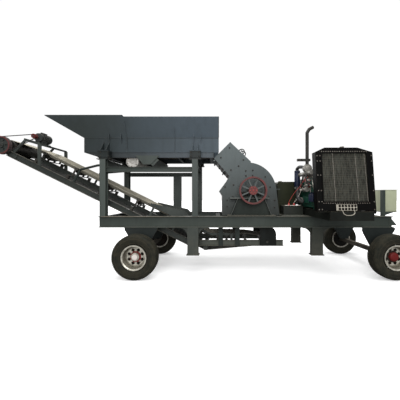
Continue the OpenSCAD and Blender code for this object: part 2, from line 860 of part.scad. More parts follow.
// Block, feet, bell housing with the output pulley, and the fan in front
module engine_block() {
    fan_z = crank_z + 250;
    bell_w = 180;
    pulley_w = guard_w - 80;
    color(engine_green) {
        block([engine_x - engine_w / 2, engine_y0, engine_z0],
              [engine_x + engine_w / 2, engine_y1, engine_z1]);
        for (y = [engine_y0 + 50, engine_y1 - 120])
            block([skid_x, y, skid_top], [skid_x + skid_w, y + 90, engine_z0]);
        drum(engine_x, engine_y1, crank_z, 250, bell_w);
        drum(engine_x, engine_y1 + bell_w, crank_z, 120, 200);
        drum(engine_x, engine_y1, crank_z, 45, pedestal_y + guard_w - 30 - engine_y1);
        drum(engine_x, pedestal_y + 40, crank_z, 190, pulley_w);
        drum(engine_x, engine_y0 - 220, fan_z, 45, 220);
        drum(engine_x, engine_y0 - 240, fan_z, 75, 40);
        for (i = [0 : 6]) translate([engine_x, engine_y0 - 220, fan_z]) rotate([0, i * 360 / 7, 0])
            rotate([32, 0, 0]) block([60, -3, -36], [300, 3, 36]);
    }
}

// Cylinder heads, exhaust manifold with its stubs and turbocharger, and the air cleaner
module engine_top() {
    z = engine_z1 + 100;
    side_x = engine_x - engine_w / 2;
    can = [side_x - 90, -120];
    color(silver) {
        block([engine_x - 200, engine_y0 + 50, engine_z1], [engine_x + 200, engine_y1 - 50, head_z1]);
        drum(stack_x, engine_y0 + 130, z, 44, 700);
        for (i = [0 : 3]) bar([stack_x, engine_y0 + 200 + 180 * i, z],
                              [engine_x - 190, engine_y0 + 200 + 180 * i, z], 34);
        translate([stack_x, stack_y, z]) cylinder(r = 50, h = 190);
        drum(stack_x, stack_y - 60, z + 105, 82, 120);
    }
    color([0.12, 0.16, 0.28]) {
        translate([can[0], can[1], engine_z1 - 225]) cylinder(r = 60, h = 435);
        block([can[0], can[1] - 25, engine_z1 - 120], [side_x, can[1] + 25, engine_z1 - 80]);
    }
}

module exhaust_pipe() {
    z = engine_z1 + 290;
    color(frame_grey) {
        bent_bar([[stack_x, stack_y, z], [stack_x, stack_y, z + 690],
                  [stack_x + 45, stack_y, z + 765], [stack_x + 130, stack_y, z + 810]], 35);
        block([stack_x - 215, stack_y - 30, z + 72], [stack_x + 60, stack_y + 30, z + 122]);
    }
}

// Keeps what lies between two planes that lean back towards the engine from the skid's top
module leaning(y, d) {
    h = radiator_h + 40;
    run = h * tan(radiator_lean);
    intersection() {
        along_x(radiator_x - radiator_w, 2 * radiator_w)
            polygon([[y, skid_top], [y + d, skid_top], [y + d + run, skid_top + h], [y + run, skid_top + h]]);
        slab(radiator_y - 10, radiator_d + run + 20) children();
    }
}
module radiator_window() {
    translate([radiator_x - radiator_w / 2 + 105, skid_top + 173])
        square([radiator_w - 215, channel_top_z - skid_top - 173]);
}

module radiator_core() {
    color([0.20, 0.19, 0.17]) leaning(radiator_y + 20, radiator_d - 40) radiator_window();
}

module radiator_frame() {
    x0 = radiator_x - radiator_w / 2;
    x1 = radiator_x + radiator_w / 2;
    cap_y = radiator_y + radiator_d / 2 + radiator_h * tan(radiator_lean);
    color(black) {
        leaning(radiator_y, radiator_d) difference() {
            polygon([[x0, skid_top], [x0 + 105, skid_top], [x0 + 105, skid_top + 17],
                     [x1 - 110, skid_top + 17], [x1 - 110, skid_top], [x1, skid_top],
                     [x1, channel_top_z + 12], [x1 - 274, radiator_z1], [x0 + 176, radiator_z1],
                     [x0, channel_top_z + 12]]);
            radiator_window();
        }
        translate([radiator_x + 5, cap_y, radiator_z1 - 5]) cylinder(r = 32, h = 35);
    }
}

// Box with its lid and two terminals
module battery_box() {
    w = 440;
    y = -370;
    d = 260;
    h = 196;
    color([0.12, 0.14, 0.11]) {
        block([battery_x, y, deck_z], [battery_x + w, y + d, deck_z + h]);
        block([battery_x - 6, y - 6, deck_z + h], [battery_x + w + 6, y + d + 6, deck_z + h + 12]);
        for (p = cable_starts) translate([p[0], p[1], deck_z + h + 12]) cylinder(r = 14, h = 20);
    }
}

// Battery cables: from a terminal, up beside the engine to its left face
terminal_z = deck_z + 228;
cable_starts = [[battery_x + 130, -340], [battery_x + 250, -330]];
cable_end_x = engine_x - engine_w / 2;
cable_routes = [
    [[cable_starts[0][0], -340, terminal_z], [cable_starts[0][0], -340, terminal_z + 60],
     [battery_x + 220, -380, terminal_z + 240], [battery_x + 360, -420, terminal_z + 430],
     [cable_end_x - 50, -430, terminal_z + 560], [cable_end_x, -430, terminal_z + 560]],
    [[cable_starts[1][0], -330, terminal_z], [cable_starts[1][0], -330, terminal_z + 50],
     [battery_x + 330, -350, terminal_z + 160], [battery_x + 400, -370, terminal_z + 330],
     [cable_end_x - 40, -380, terminal_z + 430], [cable_end_x, -380, terminal_z + 430]]
];

// A point at share t of the smooth curve through p[i] and p[i + 1]
function spline(p, i, t) =
    let(a = p[max(i - 1, 0)], b = p[i], c = p[i + 1], d = p[min(i + 2, len(p) - 1)])
    0.5 * (2 * b + (c - a) * t + (2 * a - 5 * b + 4 * c - d) * t * t
           + (3 * b - a - 3 * c + d) * t * t * t);

// A tube swept along points, with its first ring at right angles to the first stretch
module tube(points, r, sides = 8) {
    n = len(points);
    function along(i) = let(d = points[min(i + 1, n - 1)] - points[max(i - 1, 0)]) d / norm(d);
    function ring(i) = let(d = along(i), s = cross(d, [0.2, 1, 0.1]), u = s / norm(s),
                           v = cross(d, u))
        [for (k = [0 : sides - 1]) let(a = k * 360 / sides) points[i] + r * (u * cos(a) + v * sin(a))];
    polyhedron(
        points = [for (i = [0 : n - 1]) each ring(i)],
        faces = concat([[for (k = [0 : sides - 1]) k]],
            [for (i = [0 : n - 2], k = [0 : sides - 1])
                let(a = i * sides + k, b = i * sides + (k + 1) % sides)
                each [[a, a + sides, b], [b, a + sides, b + sides]]],
            [[for (k = [sides - 1 : -1 : 0]) (n - 1) * sides + k]]));
}

module battery_cables() {
    steps = 5;
    color(red) for (route = cable_routes)
        tube([for (i = [0 : len(route) - 2], s = [0 : steps])
              if (s < steps || i == len(route) - 2) spline(route, i, s / steps)], 7);
}

// Rounded tank with a filler neck
module fuel_tank() {
    r = 45;
    w = 440;
    h = 774;
    d = 450;
    color([0.18, 0.19, 0.12]) {
        slab(0, d) translate([tank_x, deck_z]) {
            translate([r, 0]) square([w - 2 * r, h]);
            translate([0, r]) square([w, h - 2 * r]);
            for (p = [[r, r], [w - r, r], [r, h - r], [w - r, h - r]])
                translate(p) circle(r = r, $fn = 48);
        }
        translate([tank_x + 120, d / 2, deck_z + h - 5]) cylinder(r = 40, h = 35);
    }
}

module control_cabinet() {
    color([0.62, 0.65, 0.55])
        block([cabinet_x, cabinet_y0, cabinet_z0], [cabinet_x + cabinet_w, cabinet_y1, cabinet_z1]);
}

// Two posts on the rails' end beam and a shelf with gussets under the cabinet
module cabinet_stand() {
    foot_z = rail_top_z - flange_t;
    near_y = cabinet_y0 - 30;
    far_y = cabinet_y1 - 20;
    color(frame_grey) {
        for (y = [near_y, far_y])
            block([cabinet_x - stand_w, y, foot_z], [cabinet_x, y + 60, cabinet_z1]);
        block([cabinet_x - stand_w, near_y, cabinet_z0 - 14],
              [cabinet_x + cabinet_w - 20, far_y + 60, cabinet_z0]);
        for (y = [near_y, far_y + 48]) slab(y, 12)
            polygon([[cabinet_x, cabinet_z0 - 14], [cabinet_x + 180, cabinet_z0 - 14],
                     [cabinet_x, cabinet_z0 - 76]]);
    }
}

// ---------------------------------------------------------------- conveyor

// The channels' line at height v, from the head end over the bend to the level end
function channel_line(v) = [incline(incline_l - 134, v), [bend_x + v * tan(slope / 2), bend_z + v],
                            [level_end_x, bend_z + v]];

// Side outline of the bent channel between two heights
module channel_outline(v0, v1) {
    low = channel_line(v0);
    high = channel_line(v1);
    polygon([low[0], low[1], low[2], high[2], high[1], high[0]]);
}

// Side channels, bent once, with their flanges turned outwards
module conveyor_channels() {
    flange = 8;
    color(frame_grey) both_sides() {
        difference() {
            slab(-web_y, channel_web) channel_outline(0, channel_h);
            drum(tail_x, -web_y - 5, tail_z, head_shaft_r + running_gap, 20);
        }
        for (v = [0, channel_h - flange])
            slab(-conveyor_w / 2, channel_flange + 1) channel_outline(v, v + flange);
    }
}

// Straps and tail plates from the rails to the level channels, and bent bars to the posts
module conveyor_supports() {
    y = conveyor_w / 2;
    t = 12;
    top = rail_z - 12;
    color(frame_grey) both_sides() {
        for (x = [crusher_x - 41, crusher_x + 332]) {
            block([x - 50, -y - t, bend_z + 10], [x + 50, -y, rail_z]);
            block([x - 50, -rail_y, top], [x + 50, -y, rail_z]);
        }
        difference() {
            slab(-y - t, t) {
                polygon([[tail_x - 163, rail_z], [tail_x + 20, rail_z], [tail_x + 203, rail_z - 183],
                         [tail_x + 203, bend_z + 10], [tail_x - 163, bend_z + 10]]);
                translate([tail_x + 20, rail_z - 183]) circle(r = 183);
            }
            drum(tail_x, -y - 20, tail_z, head_shaft_r + 2, 40);
        }
        block([tail_x - 163, -rail_y, top], [tail_x + 20, -y, rail_z]);
        brace();
    }
}

// A bent bar from a foot on a channel's top to the web of the rear post
module brace() {
    y = -conveyor_w / 2 + 26;
    r = 25;
    x0 = trough_x0 - 278;
    foot_u = (bend_x - x0) / cos(slope) + channel_h * tan(slope);
    foot = incline(foot_u, channel_h + 5);
    knee = foot + [142, 275];
    post_z = side_beam_z + 140;
    on_incline() block([-foot_u - 45, y - 22, channel_h], [-foot_u + 45, y + 22, channel_h + 10]);
    bent_bar([[foot[0], y, foot[1]], [knee[0], y, knee[1]],
              [rear_post_x - 130, -post_y, post_z], [rear_post_x - post_web / 2, -post_y, post_z]],
             r);
}

// Plates on the channels' webs that hold the head drum's bearings, and the bend roller's ears
module conveyor_head() {
    u = incline_l;
    t = 12;
    color(frame_grey) both_sides() {
        on_incline() difference() {
            union() {
                slab(-web_y - t, t)
                    polygon([[-u - 85, head_v - 95], [-u - 85, head_v + 70], [-u + 60, head_v + 70],
                             [-u + 128, channel_h + 4], [-u + 128, channel_h - 10],
                             [-u + 330, channel_h - 10], [-u + 330, 10], [-u + 100, 10]]);
                drum(-u, -web_y - 40, head_v, head_shaft_r + 28, 40);
            }
            drum(-u, -web_y - 60, head_v, head_shaft_r + running_gap, 100);
        }
        difference() {
            slab(-web_in_edge, 10)
                polygon([[bend_roller[0] - 60, bend_z + 60], [bend_roller[0] + 60, bend_z + 60],
                         [bend_roller[0] + 40, bend_roller[1] - 45],
                         [bend_roller[0] - 40, bend_roller[1] - 45]]);
            drum(bend_roller[0], -web_in_edge - 5, bend_roller[1], 15 + running_gap, 20);
        }
    }
}

// Portal over the belt with a sloping motor plate
module motor_stand() {
    y = conveyor_w / 2 - 5;
    w = 30;
    deep = 45;
    under = motor_r + 8;
    plate = 14;
    left = -260;
    right = 110;
    post_off = 56;
    bar_v = -under - plate;
    post_x = motor[0] + post_off;
    bar_z = motor[1] + bar_v / cos(stand_tilt) - post_off * tan(stand_tilt);
    strut_x = motor[0] - 548;
    strut_top = motor + [left * cos(stand_tilt) + bar_v * sin(stand_tilt),
                         -left * sin(stand_tilt) + bar_v * cos(stand_tilt)];
    color(frame_grey) {
        translate([motor[0], 0, motor[1]]) rotate([0, stand_tilt, 0]) {
            block([left, -y, bar_v], [right, -y / 4, bar_v + plate]);
            both_sides() block([left, -y, bar_v - deep], [right, -y + w, bar_v]);
            for (x = [left, right - 60])
                block([x, -y + w, bar_v - deep], [x + 60, y - w, bar_v]);
        }
        both_sides() slab(-y, w) {
            polygon([[post_x - 36, slope_z(post_x - 36, channel_h)],
                     [post_x + 36, slope_z(post_x + 36, channel_h)],
                     [post_x + 36, bar_z - 30], [post_x - 36, bar_z - 10]]);
            polygon([[strut_x, slope_z(strut_x, channel_h)],
                     [strut_x + 55, slope_z(strut_x + 55, channel_h)],
                     strut_top + [50, -30], strut_top + [10, -10]]);
        }
    }
}

// An idler on the incline or the level: three rollers on a bar with feet and end brackets
module idler_set(v, tilt) {
    gap = idler_r + drum_gap;
    bar_z = max(v - 2 * idler_r - 40, channel_h + 8);
    foot_y = conveyor_w / 2 - 10;
    end_y = flat_half + gap * sin(tilt) + wing * cos(tilt);
    end_v = v - gap * cos(tilt) + wing * sin(tilt);
    drum(0, -flat_half + 8, v - gap, idler_r, 2 * flat_half - 16);
    both_sides() {
        translate([0, -flat_half - gap * sin(tilt), v - gap * cos(tilt)])
            rotate([90 - tilt, 0, 0]) translate([0, 0, 10]) cylinder(r = idler_r, h = wing - 8);
        block([-20, -end_y - 14, bar_z], [20, -end_y - 2, end_v + 14]);
        block([-20, -flat_half - 14, bar_z], [20, -flat_half + 8, v - gap + 8]);
        block([-30, -foot_y, channel_h], [30, -web_y + 10, bar_z + 10]);
    }
    block([-20, -foot_y, bar_z - 2], [20, foot_y, bar_z + 10]);
}

// Carrying idlers, return rollers, the bend roller and the tail drum
module idlers() {
    shaft = 10;
    color(black) {
        on_incline() {
            for (u = [740 : 800 : 3940]) translate([-u, 0, 0]) idler_set(carry_v, trough_tilt);
            for (u = [150, 1350, 2750, 4150]) {
                drum(-u, -web_in_edge, return_v - belt_t - 20 - drum_gap, shaft, 2 * web_in_edge);
                drum(-u, -330, return_v - belt_t - 20 - drum_gap, 20, 660);
            }
        }
        for (x = [2490, 2690, 2900, 3110]) translate([x - 2600 + crusher_x, 0, bend_z])
            idler_set(level_z - bend_z, trough_tilt * level_share);
        drum(bend_roller[0], -web_in_edge, bend_roller[1], 15, 2 * web_in_edge);
        drum(bend_roller[0], -300, bend_roller[1], bend_roller_r, 600);
        drum(tail_x, -330, tail_z, tail_r, 660);
        drum(tail_x, -conveyor_w / 2 - 25, tail_z, head_shaft_r, conveyor_w + 50);
    }
}

// Belt loop. Each station is a point of the inner face, the direction of the outward normal
// (0 is up, -90 is towards the head) and the share of the full trough
function on_circle(c, r, a) = [c[0] + r * sin(a), c[1] + r * cos(a)];
function wrap(c, r, a0, a1, n) = [for (i = [0 : n])
    let(a = a0 + (a1 - a0) * i / n, ring_r = (r + drum_gap) / cos((a1 - a0) / (2 * n)))
    concat(on_circle(c, ring_r, a), [a, 0])];
lift = atan((return_v - head_v + head_r) / 560);
knee_x = bend_x + (carry_v / cos(slope) - level_z + bend_z) / tan(slope);
knee_t = 160;
knee_r = knee_t / tan(slope / 2);
tail_reach = [tail_x, tail_z] - bend_roller;
return_tilt = atan2(tail_reach[1], tail_reach[0])
    - asin((tail_r - bend_roller_r) / norm(tail_reach));
stations = concat(
    [[tail_x - 430, level_z, 0, level_share], [knee_x + knee_t + 90, level_z, 0, level_share]],
    [for (i = [0 : 4]) let(a = slope * i / 4)
        [knee_x + knee_t - knee_r * sin(a), level_z + knee_r * (1 - cos(a)), a,
         level_share + (1 - level_share) * i / 4]],
    [concat(incline(600, carry_v), [slope, 1])],
    [concat(incline(incline_l - 750, carry_v), [slope, 1])],
    [concat(incline(incline_l - 350, carry_v), [slope, 0.45])],
    wrap(head, head_r, slope, slope - 180 - lift, 11),
    [concat(incline(incline_l - 562, return_v), [slope - 180, 0])],
    wrap(bend_roller, bend_roller_r, slope - 180, -180 - return_tilt, 3),
    wrap([tail_x, tail_z], tail_r, -180 - return_tilt, -360, 9));

// The belt's section, eight points from its near edge round to the near edge again
function belt_section(share) =
    let(a = trough_tilt * share, y = flat_half + wing * cos(a), h = wing * sin(a))
    [[-y, h], [-flat_half, 0], [flat_half, 0], [y, h],
     [y, h + belt_t], [flat_half, belt_t], [-flat_half, belt_t], [-y, h + belt_t]];
function belt_ring(s) = [for (p = belt_section(s[3]))
    [s[0] + p[1] * sin(s[2]), p[0], s[1] + p[1] * cos(s[2])]];

module conveyor_belt() {
    n = len(stations);
    color(belt_grey) polyhedron(
        points = [for (s = stations) each belt_ring(s)],
        faces = [for (i = [0 : n - 1], j = [0 : 7])
            let(a = i * 8 + j, b = i * 8 + (j + 1) % 8,
                c = (i + 1) % n * 8 + (j + 1) % 8, d = (i + 1) % n * 8 + j)
            each [[a, b, c], [a, c, d]]]);
}

// Boards beside the belt where it is loaded, with arms to the channels
module loading_skirts() {
    t = 8;
    y = 318;
    x = crusher_x;
    low_v = carry_v + 70;
    arm_y = web_y + 30;
    color(belt_grey) both_sides() {
        slab(-y, t) polygon([
            [x - 1650, slope_z(x - 1650, low_v + 50)], [x - 875, 1317], [x - 540, 960],
            [x - 300, 812], [x + 316, 806], [x + 316, level_z + 24], [x - 250, level_z + 24],
            [x - 640, slope_z(x - 640, low_v)], [x - 1650, slope_z(x - 1650, low_v)]]);
        for (u = [500, 1100])
            on_incline() block([-u - 25, -arm_y, low_v + 4], [-u + 25, -y, low_v + 12]);
        for (u = [500, 1100])
            on_incline() block([-u - 25, -arm_y - 8, channel_h], [-u + 25, -arm_y, low_v + 12]);
        for (a = [x - 20, x + 200]) {
            block([a - 25, -arm_y, level_z + 60], [a + 25, -y, level_z + 68]);
            block([a - 25, -arm_y - 8, bend_z + channel_h], [a + 25, -arm_y, level_z + 68]);
        }
    }
}

module head_drum() {
    y0 = -sheave_y - sheave_w - 6;
    color(black) {
        drum(head[0], -350, head[1], head_r, 700);
        drum(head[0], y0, head[1], head_shaft_r, web_y + 55 - y0);
    }
}

// Section of a pulley with two belt grooves, from its bore out to its rim
module pulley_section(r, bore, w) {
    polygon(concat([[bore, 0], [r, 0]],
        [for (c = [0.3, 0.7]) each [[r, c * w - 10], [r - 12, c * w - 5], [r - 12, c * w + 5],
                                    [r, c * w + 10]]],
        [[r, w], [bore, w]]));
}

// Belt wheel on the head drum: a rim, a plate with six holes and a hub
module head_sheave() {
    plate = 14;
    rim_t = 36;
    hub = 55;
    color(red) translate([head[0], -sheave_y, head[1]]) rotate([90, 0, 0]) difference() {
        rotate_extrude() pulley_section(sheave_r, head_shaft_r + running_gap, sheave_w);
        for (z = [-1, (sheave_w + plate) / 2]) translate([0, 0, z]) difference() {
            cylinder(r = sheave_r - rim_t, h = (sheave_w - plate) / 2 + 1);
            cylinder(r = hub, h = sheave_w);
        }
        for (i = [0 : 5]) rotate([0, 0, i * 60])
            translate([(hub + sheave_r - rim_t) / 2, 0, 10]) cylinder(r = 30, h = sheave_w, $fn = 32);
    }
}

module motor_pulley() {
    color(red) translate([motor[0], -sheave_y, motor[1]]) rotate([90, 0, 0])
        rotate_extrude() pulley_section(motor_pulley_r, motor_shaft_r + running_gap, sheave_w);
}

// Finned motor with its shaft, feet and terminal box
module conveyor_motor() {
    y0 = -web_y;
    l = 265;
    fins = 20;
    color(frame_grey) {
        difference() {
            drum(motor[0], y0, motor[1], motor_r, l);
            for (i = [0 : fins - 1]) translate([motor[0], y0 + 40, motor[1]])
                rotate([0, (i + 0.5) * 360 / fins, 0]) block([motor_r - 12, 0, -5], [motor_r + 20, 165, 5]);
        }
        drum(motor[0], -sheave_y - sheave_w - 4, motor[1], motor_shaft_r, sheave_y + sheave_w + 4 + y0 + 10);
        translate([motor[0], 0, motor[1]]) rotate([0, stand_tilt, 0]) {
            for (x = [-85, 55]) block([x, y0 + 52, -motor_r - 8], [x + 30, y0 + 190, -35]);
            block([-40, y0 + 75, motor_r - 20], [40, y0 + 175, motor_r + 35]);
        }
    }
}

// Outline round both pulleys' grooves, so much above the groove floor
module belt_outline(above) {
    hull() {
        translate(head) circle(r = sheave_r - 12 + above);
        translate(motor) circle(r = motor_pulley_r - 12 + above);
    }
}

module drive_belts() {
    color(black) for (c = [0.3, 0.7])
        slab(-sheave_y - sheave_w * c - 4, 8) difference() {
            belt_outline(9);
            belt_outline(0.6);
        }
}

placed() rails();
placed() crossmembers();
placed() deck_plate();
placed() support_legs();
placed() axles();
placed() axle_brackets();
placed() spring_leaves();
placed() tyre_rear_near();
placed() rim_rear_near();
placed() tyre_rear_far();
placed() rim_rear_far();
placed() tyre_front_near();
placed() rim_front_near();
placed() tyre_front_far();
placed() rim_front_far();
placed() hopper_posts();
placed() hopper_beams();
placed() feeder_springs();
placed() spring_ears();
placed() trough_walls();
placed() trough_frame();
placed() trough_floor();
placed() hopper_sides();
placed() hopper_apron();
placed() hopper_end_plate();
placed() exciter_mount();
placed() exciter_motors();
placed() crusher_sides();
placed() crusher_shell();
placed() chute_plates();
placed() bearing_pedestals();
placed() bearing_housings();
placed() hammer_rotor();
placed() flywheel();
placed() drive_pulley();
placed() belt_guard();
placed() engine_skid();
placed() engine_block();
placed() engine_top();
placed() exhaust_pipe();
placed() radiator_core();
placed() radiator_frame();
placed() battery_box();
placed() battery_cables();
placed() fuel_tank();
placed() control_cabinet();
placed() cabinet_stand();
placed() conveyor_channels();
placed() conveyor_supports();
placed() conveyor_head();
placed() motor_stand();
placed() idlers();
placed() conveyor_belt();
placed() loading_skirts();
placed() head_drum();
placed() head_sheave();
placed() conveyor_motor();
placed() motor_pulley();
placed() drive_belts();
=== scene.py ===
"""A diesel hammer crushing plant on a two-axle chassis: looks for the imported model."""
import math
import bmesh
import bpy
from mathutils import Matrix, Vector
import numpy as np


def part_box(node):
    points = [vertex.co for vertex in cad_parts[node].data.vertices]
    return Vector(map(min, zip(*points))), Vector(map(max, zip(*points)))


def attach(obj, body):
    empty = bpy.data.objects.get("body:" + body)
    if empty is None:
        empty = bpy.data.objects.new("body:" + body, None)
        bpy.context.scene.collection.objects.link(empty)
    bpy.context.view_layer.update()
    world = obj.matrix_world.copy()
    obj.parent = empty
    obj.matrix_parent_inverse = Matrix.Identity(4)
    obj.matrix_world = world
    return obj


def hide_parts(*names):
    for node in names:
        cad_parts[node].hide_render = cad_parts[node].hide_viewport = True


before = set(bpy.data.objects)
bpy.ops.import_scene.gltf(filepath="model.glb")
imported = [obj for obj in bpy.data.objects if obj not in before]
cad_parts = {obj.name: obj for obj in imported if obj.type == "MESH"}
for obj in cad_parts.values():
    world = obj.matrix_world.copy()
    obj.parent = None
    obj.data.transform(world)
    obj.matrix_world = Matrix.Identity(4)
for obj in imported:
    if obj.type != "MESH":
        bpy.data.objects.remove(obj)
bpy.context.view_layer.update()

# ---------------------------------------- camera, floor and lamps
# The chassis gives the measures: x runs from the conveyor end of its rails to the engine end, y from the
# near side to the far side of its centre line, z up from the ground, all in millimetres.
rail_low, rail_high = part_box("rails")
rail_overhang = 0.060
chassis_zero = np.array([rail_low.x + rail_overhang, (rail_low.y + rail_high.y) / 2, 0.0])


def metres(points):
    """Chassis millimetres to the row frame: a thousandth of each number, moved to the rails' origin."""
    return np.asarray(points, float) / 1000 + chassis_zero


def placed(name, data):
    """A new object, linked into the scene."""
    made = bpy.data.objects.new(name, data)
    bpy.context.collection.objects.link(made)
    return made


camera = placed("camera", bpy.data.cameras.new("camera"))
camera.location = metres([2476, -5370, 1680])
camera.rotation_euler = (math.radians(90), 0, 0)
camera.data.sensor_width = 36
camera.data.lens = 19.8
camera.data.shift_x = -0.0425
camera.data.shift_y = -0.0125
bpy.context.scene.camera = camera
bpy.context.scene.view_settings.view_transform = "Standard"


def paint(red, green, blue):
    """A colour as it is mixed, 0 to 255, turned to the linear light that shaders use."""
    parts = np.array([red, green, blue]) / 255
    linear = np.where(parts <= 0.04045, parts / 12.92, ((parts + 0.055) / 1.055) ** 2.4)
    return (*linear.tolist(), 1.0)


class Field:
    """A value that changes over a surface: one shader socket, used in plain sums."""

    def __init__(self, finish, socket):
        self.finish = finish
        self.socket = socket

    def sum(self, operation, *terms):
        settings = {"operation": operation}
        return self.finish.node("ShaderNodeMath", settings, dict(enumerate(terms)))

    def __add__(self, other):
        return self.sum("ADD", self, other)

    __radd__ = __add__

    def __sub__(self, other):
        return self.sum("SUBTRACT", self, other)

    def __rsub__(self, other):
        return self.sum("SUBTRACT", other, self)

    def __mul__(self, other):
        return self.sum("MULTIPLY", self, other)

    __rmul__ = __mul__

    def __truediv__(self, other):
        return self.sum("DIVIDE", self, other)

    def size(self):
        """The value without its sign."""
        return self.sum("ABSOLUTE", self)

    def between(self, low, high):
        """0 below low, 1 above high, and a smooth step from one to the other."""
        sockets = {"Value": self, "From Min": low, "From Max": high}
        return self.finish.node("ShaderNodeMapRange", {"interpolation_type": "SMOOTHSTEP"}, sockets)


class Finish:
    """One material and the nodes that make it. The world's nodes are made the same way."""

    def __init__(self, name, world=None):
        self.material = world or bpy.data.materials.new(name)
        self.material.use_nodes = True
        self.tree = self.material.node_tree
        self.tree.nodes.clear()

    def node(self, kind, settings=None, sockets=None, output=0):
        """Any node: its settings first, then the values or links of its sockets."""
        made = self.tree.nodes.new(kind)
        for name, value in (settings or {}).items():
            setattr(made, name, value)
        for name, value in (sockets or {}).items():
            if isinstance(value, Field):
                self.tree.links.new(value.socket, made.inputs[name])
            else:
                made.inputs[name].default_value = value
        return Field(self, made.outputs[output]) if made.outputs else None

    def place(self, stretch=(1, 1, 1)):
        """Where a point is on the object, in metres, stretched along each axis."""
        where = self.node("ShaderNodeTexCoord", output="Object")
        return self.node("ShaderNodeMapping", None, {"Vector": where, "Scale": stretch})

    def noise(self, scale, detail, rough=0.55, stretch=(1, 1, 1)):
        """Clouds from 0 to 1 over the object, smaller as the scale grows."""
        sockets = {"Vector": self.place(stretch), "Scale": scale, "Detail": detail, "Roughness": rough}
        return self.node("ShaderNodeTexNoise", None, sockets)

    def facing(self, axis):
        """How far the surface faces along an axis: 0 for x, 1 for y, 2 for upward."""
        faces = self.node("ShaderNodeNewGeometry", output="Normal")
        return self.node("ShaderNodeSeparateXYZ", None, {0: faces}, output=axis)

    def along(self, axis):
        """How far along an axis a point is, in metres."""
        return self.node("ShaderNodeSeparateXYZ", None, {0: self.place()}, output=axis)

    def edges(self, radius):
        """1 along folds and edges: where a rounded normal leans away from the true one."""
        rounded = self.node("ShaderNodeBevel", {"samples": 4}, {"Radius": radius})
        true = self.node("ShaderNodeNewGeometry", output="Normal")
        same = self.node("ShaderNodeVectorMath", {"operation": "DOT_PRODUCT"}, {0: rounded, 1: true}, 1)
        return (1 - same).between(0.015, 0.22)

    def blend(self, share, first, second):
        """The first colour where share is 0, the second where it is 1, each as mixed or a field."""
        colours = [colour if isinstance(colour, Field) else paint(*colour) for colour in (first, second)]
        sockets = {0: share, 6: colours[0], 7: colours[1]}
        return self.node("ShaderNodeMix", {"data_type": "RGBA"}, sockets, 2)

    def bump(self, height, distance, strength):
        """A normal that leans with the slope of a height."""
        sockets = {"Height": height, "Distance": distance, "Strength": strength}
        return self.node("ShaderNodeBump", None, sockets)

    def surface(self, colour, rough, normal, metallic=0.0, gloss=0.5):
        """Ends the material: one shader, fed with what was worked out for it."""
        sockets = {"Base Color": colour, "Roughness": rough, "Metallic": metallic,
                   "Specular IOR Level": gloss}
        if normal:
            sockets["Normal"] = normal
        shader = self.node("ShaderNodeBsdfPrincipled", None, sockets)
        self.node("ShaderNodeOutputMaterial", None, {"Surface": shader})
        return self


floor = Finish("studio_floor")
seen = floor.node("ShaderNodeLightPath", output="Is Camera Ray")
cloth = floor.node("ShaderNodeBsdfDiffuse", None, {0: 0.30 + 0.56 * seen})
reach = floor.node("ShaderNodeVectorMath", {"operation": "LENGTH"}, {0: floor.place((0.6, 1, 1))}, 1)
brighter = seen * (0.36 + 0.7 * reach.between(2.5, 7))
lift = floor.node("ShaderNodeEmission", None, {"Color": (1, 1, 1, 1), "Strength": brighter})
both = floor.node("ShaderNodeAddShader", None, {0: cloth, 1: lift})
floor.node("ShaderNodeOutputMaterial", None, {0: both})
floor_mesh = bpy.data.meshes.new("floor")
floor_mesh.from_pydata([(-60, -60, 0), (60, -60, 0), (60, 60, 0), (-60, 60, 0)], [], [(0, 1, 2, 3)])
floor_mesh.materials.append(floor.material)
placed("floor", floor_mesh)

world = bpy.data.worlds.new("studio")
bpy.context.scene.world = world
sky = Finish("studio", world)
direct = sky.node("ShaderNodeLightPath", output="Is Camera Ray")
mirror = sky.node("ShaderNodeLightPath", output="Is Glossy Ray")
through = sky.node("ShaderNodeLightPath", output="Is Transmission Ray")
white = (direct + through).between(0, 1)
strength = 0.55 + white * 0.47 + mirror * 0.1
glow = sky.node("ShaderNodeBackground", None, {"Color": (1.0, 1.0, 1.0, 1), "Strength": strength})
sky.node("ShaderNodeOutputWorld", None, {"Surface": glow})


def soft_lamp(name, place, aim, size, watts):
    """A square soft box at a place, turned to shine at a point."""
    lamp = placed(name, bpy.data.lights.new(name, "AREA"))
    lamp.data.size = size
    lamp.data.energy = watts
    lamp.location = metres(place)
    lamp.rotation_euler = Vector(metres(aim) - metres(place)).to_track_quat("-Z", "Y").to_euler()


soft_lamp("top_box", [2600, -1500, 9500], [2600, 0, 1200], 9, 900)
soft_lamp("front_box", [2300, -10500, 5200], [2700, 0, 1600], 7, 700)
soft_lamp("back_box", [-1500, 9500, 5500], [2800, 0, 1600], 6, 380)

# ---------------------------------------- chassis
# Two rolled steel joists with cross beams, legs with curved gussets and a deck plate, welded, shot
# blasted and sprayed with one coat of dark grey-green paint, then driven over dusty ground.


def span(node):
    """Lowest and highest corner of a CAD node in chassis millimetres."""
    return [(np.array(corner) - chassis_zero) * 1000 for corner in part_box(node)]


def coat(finish, *nodes):
    """Gives CAD nodes their finish."""
    for name in nodes:
        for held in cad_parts[name].material_slots:
            held.material = finish.material


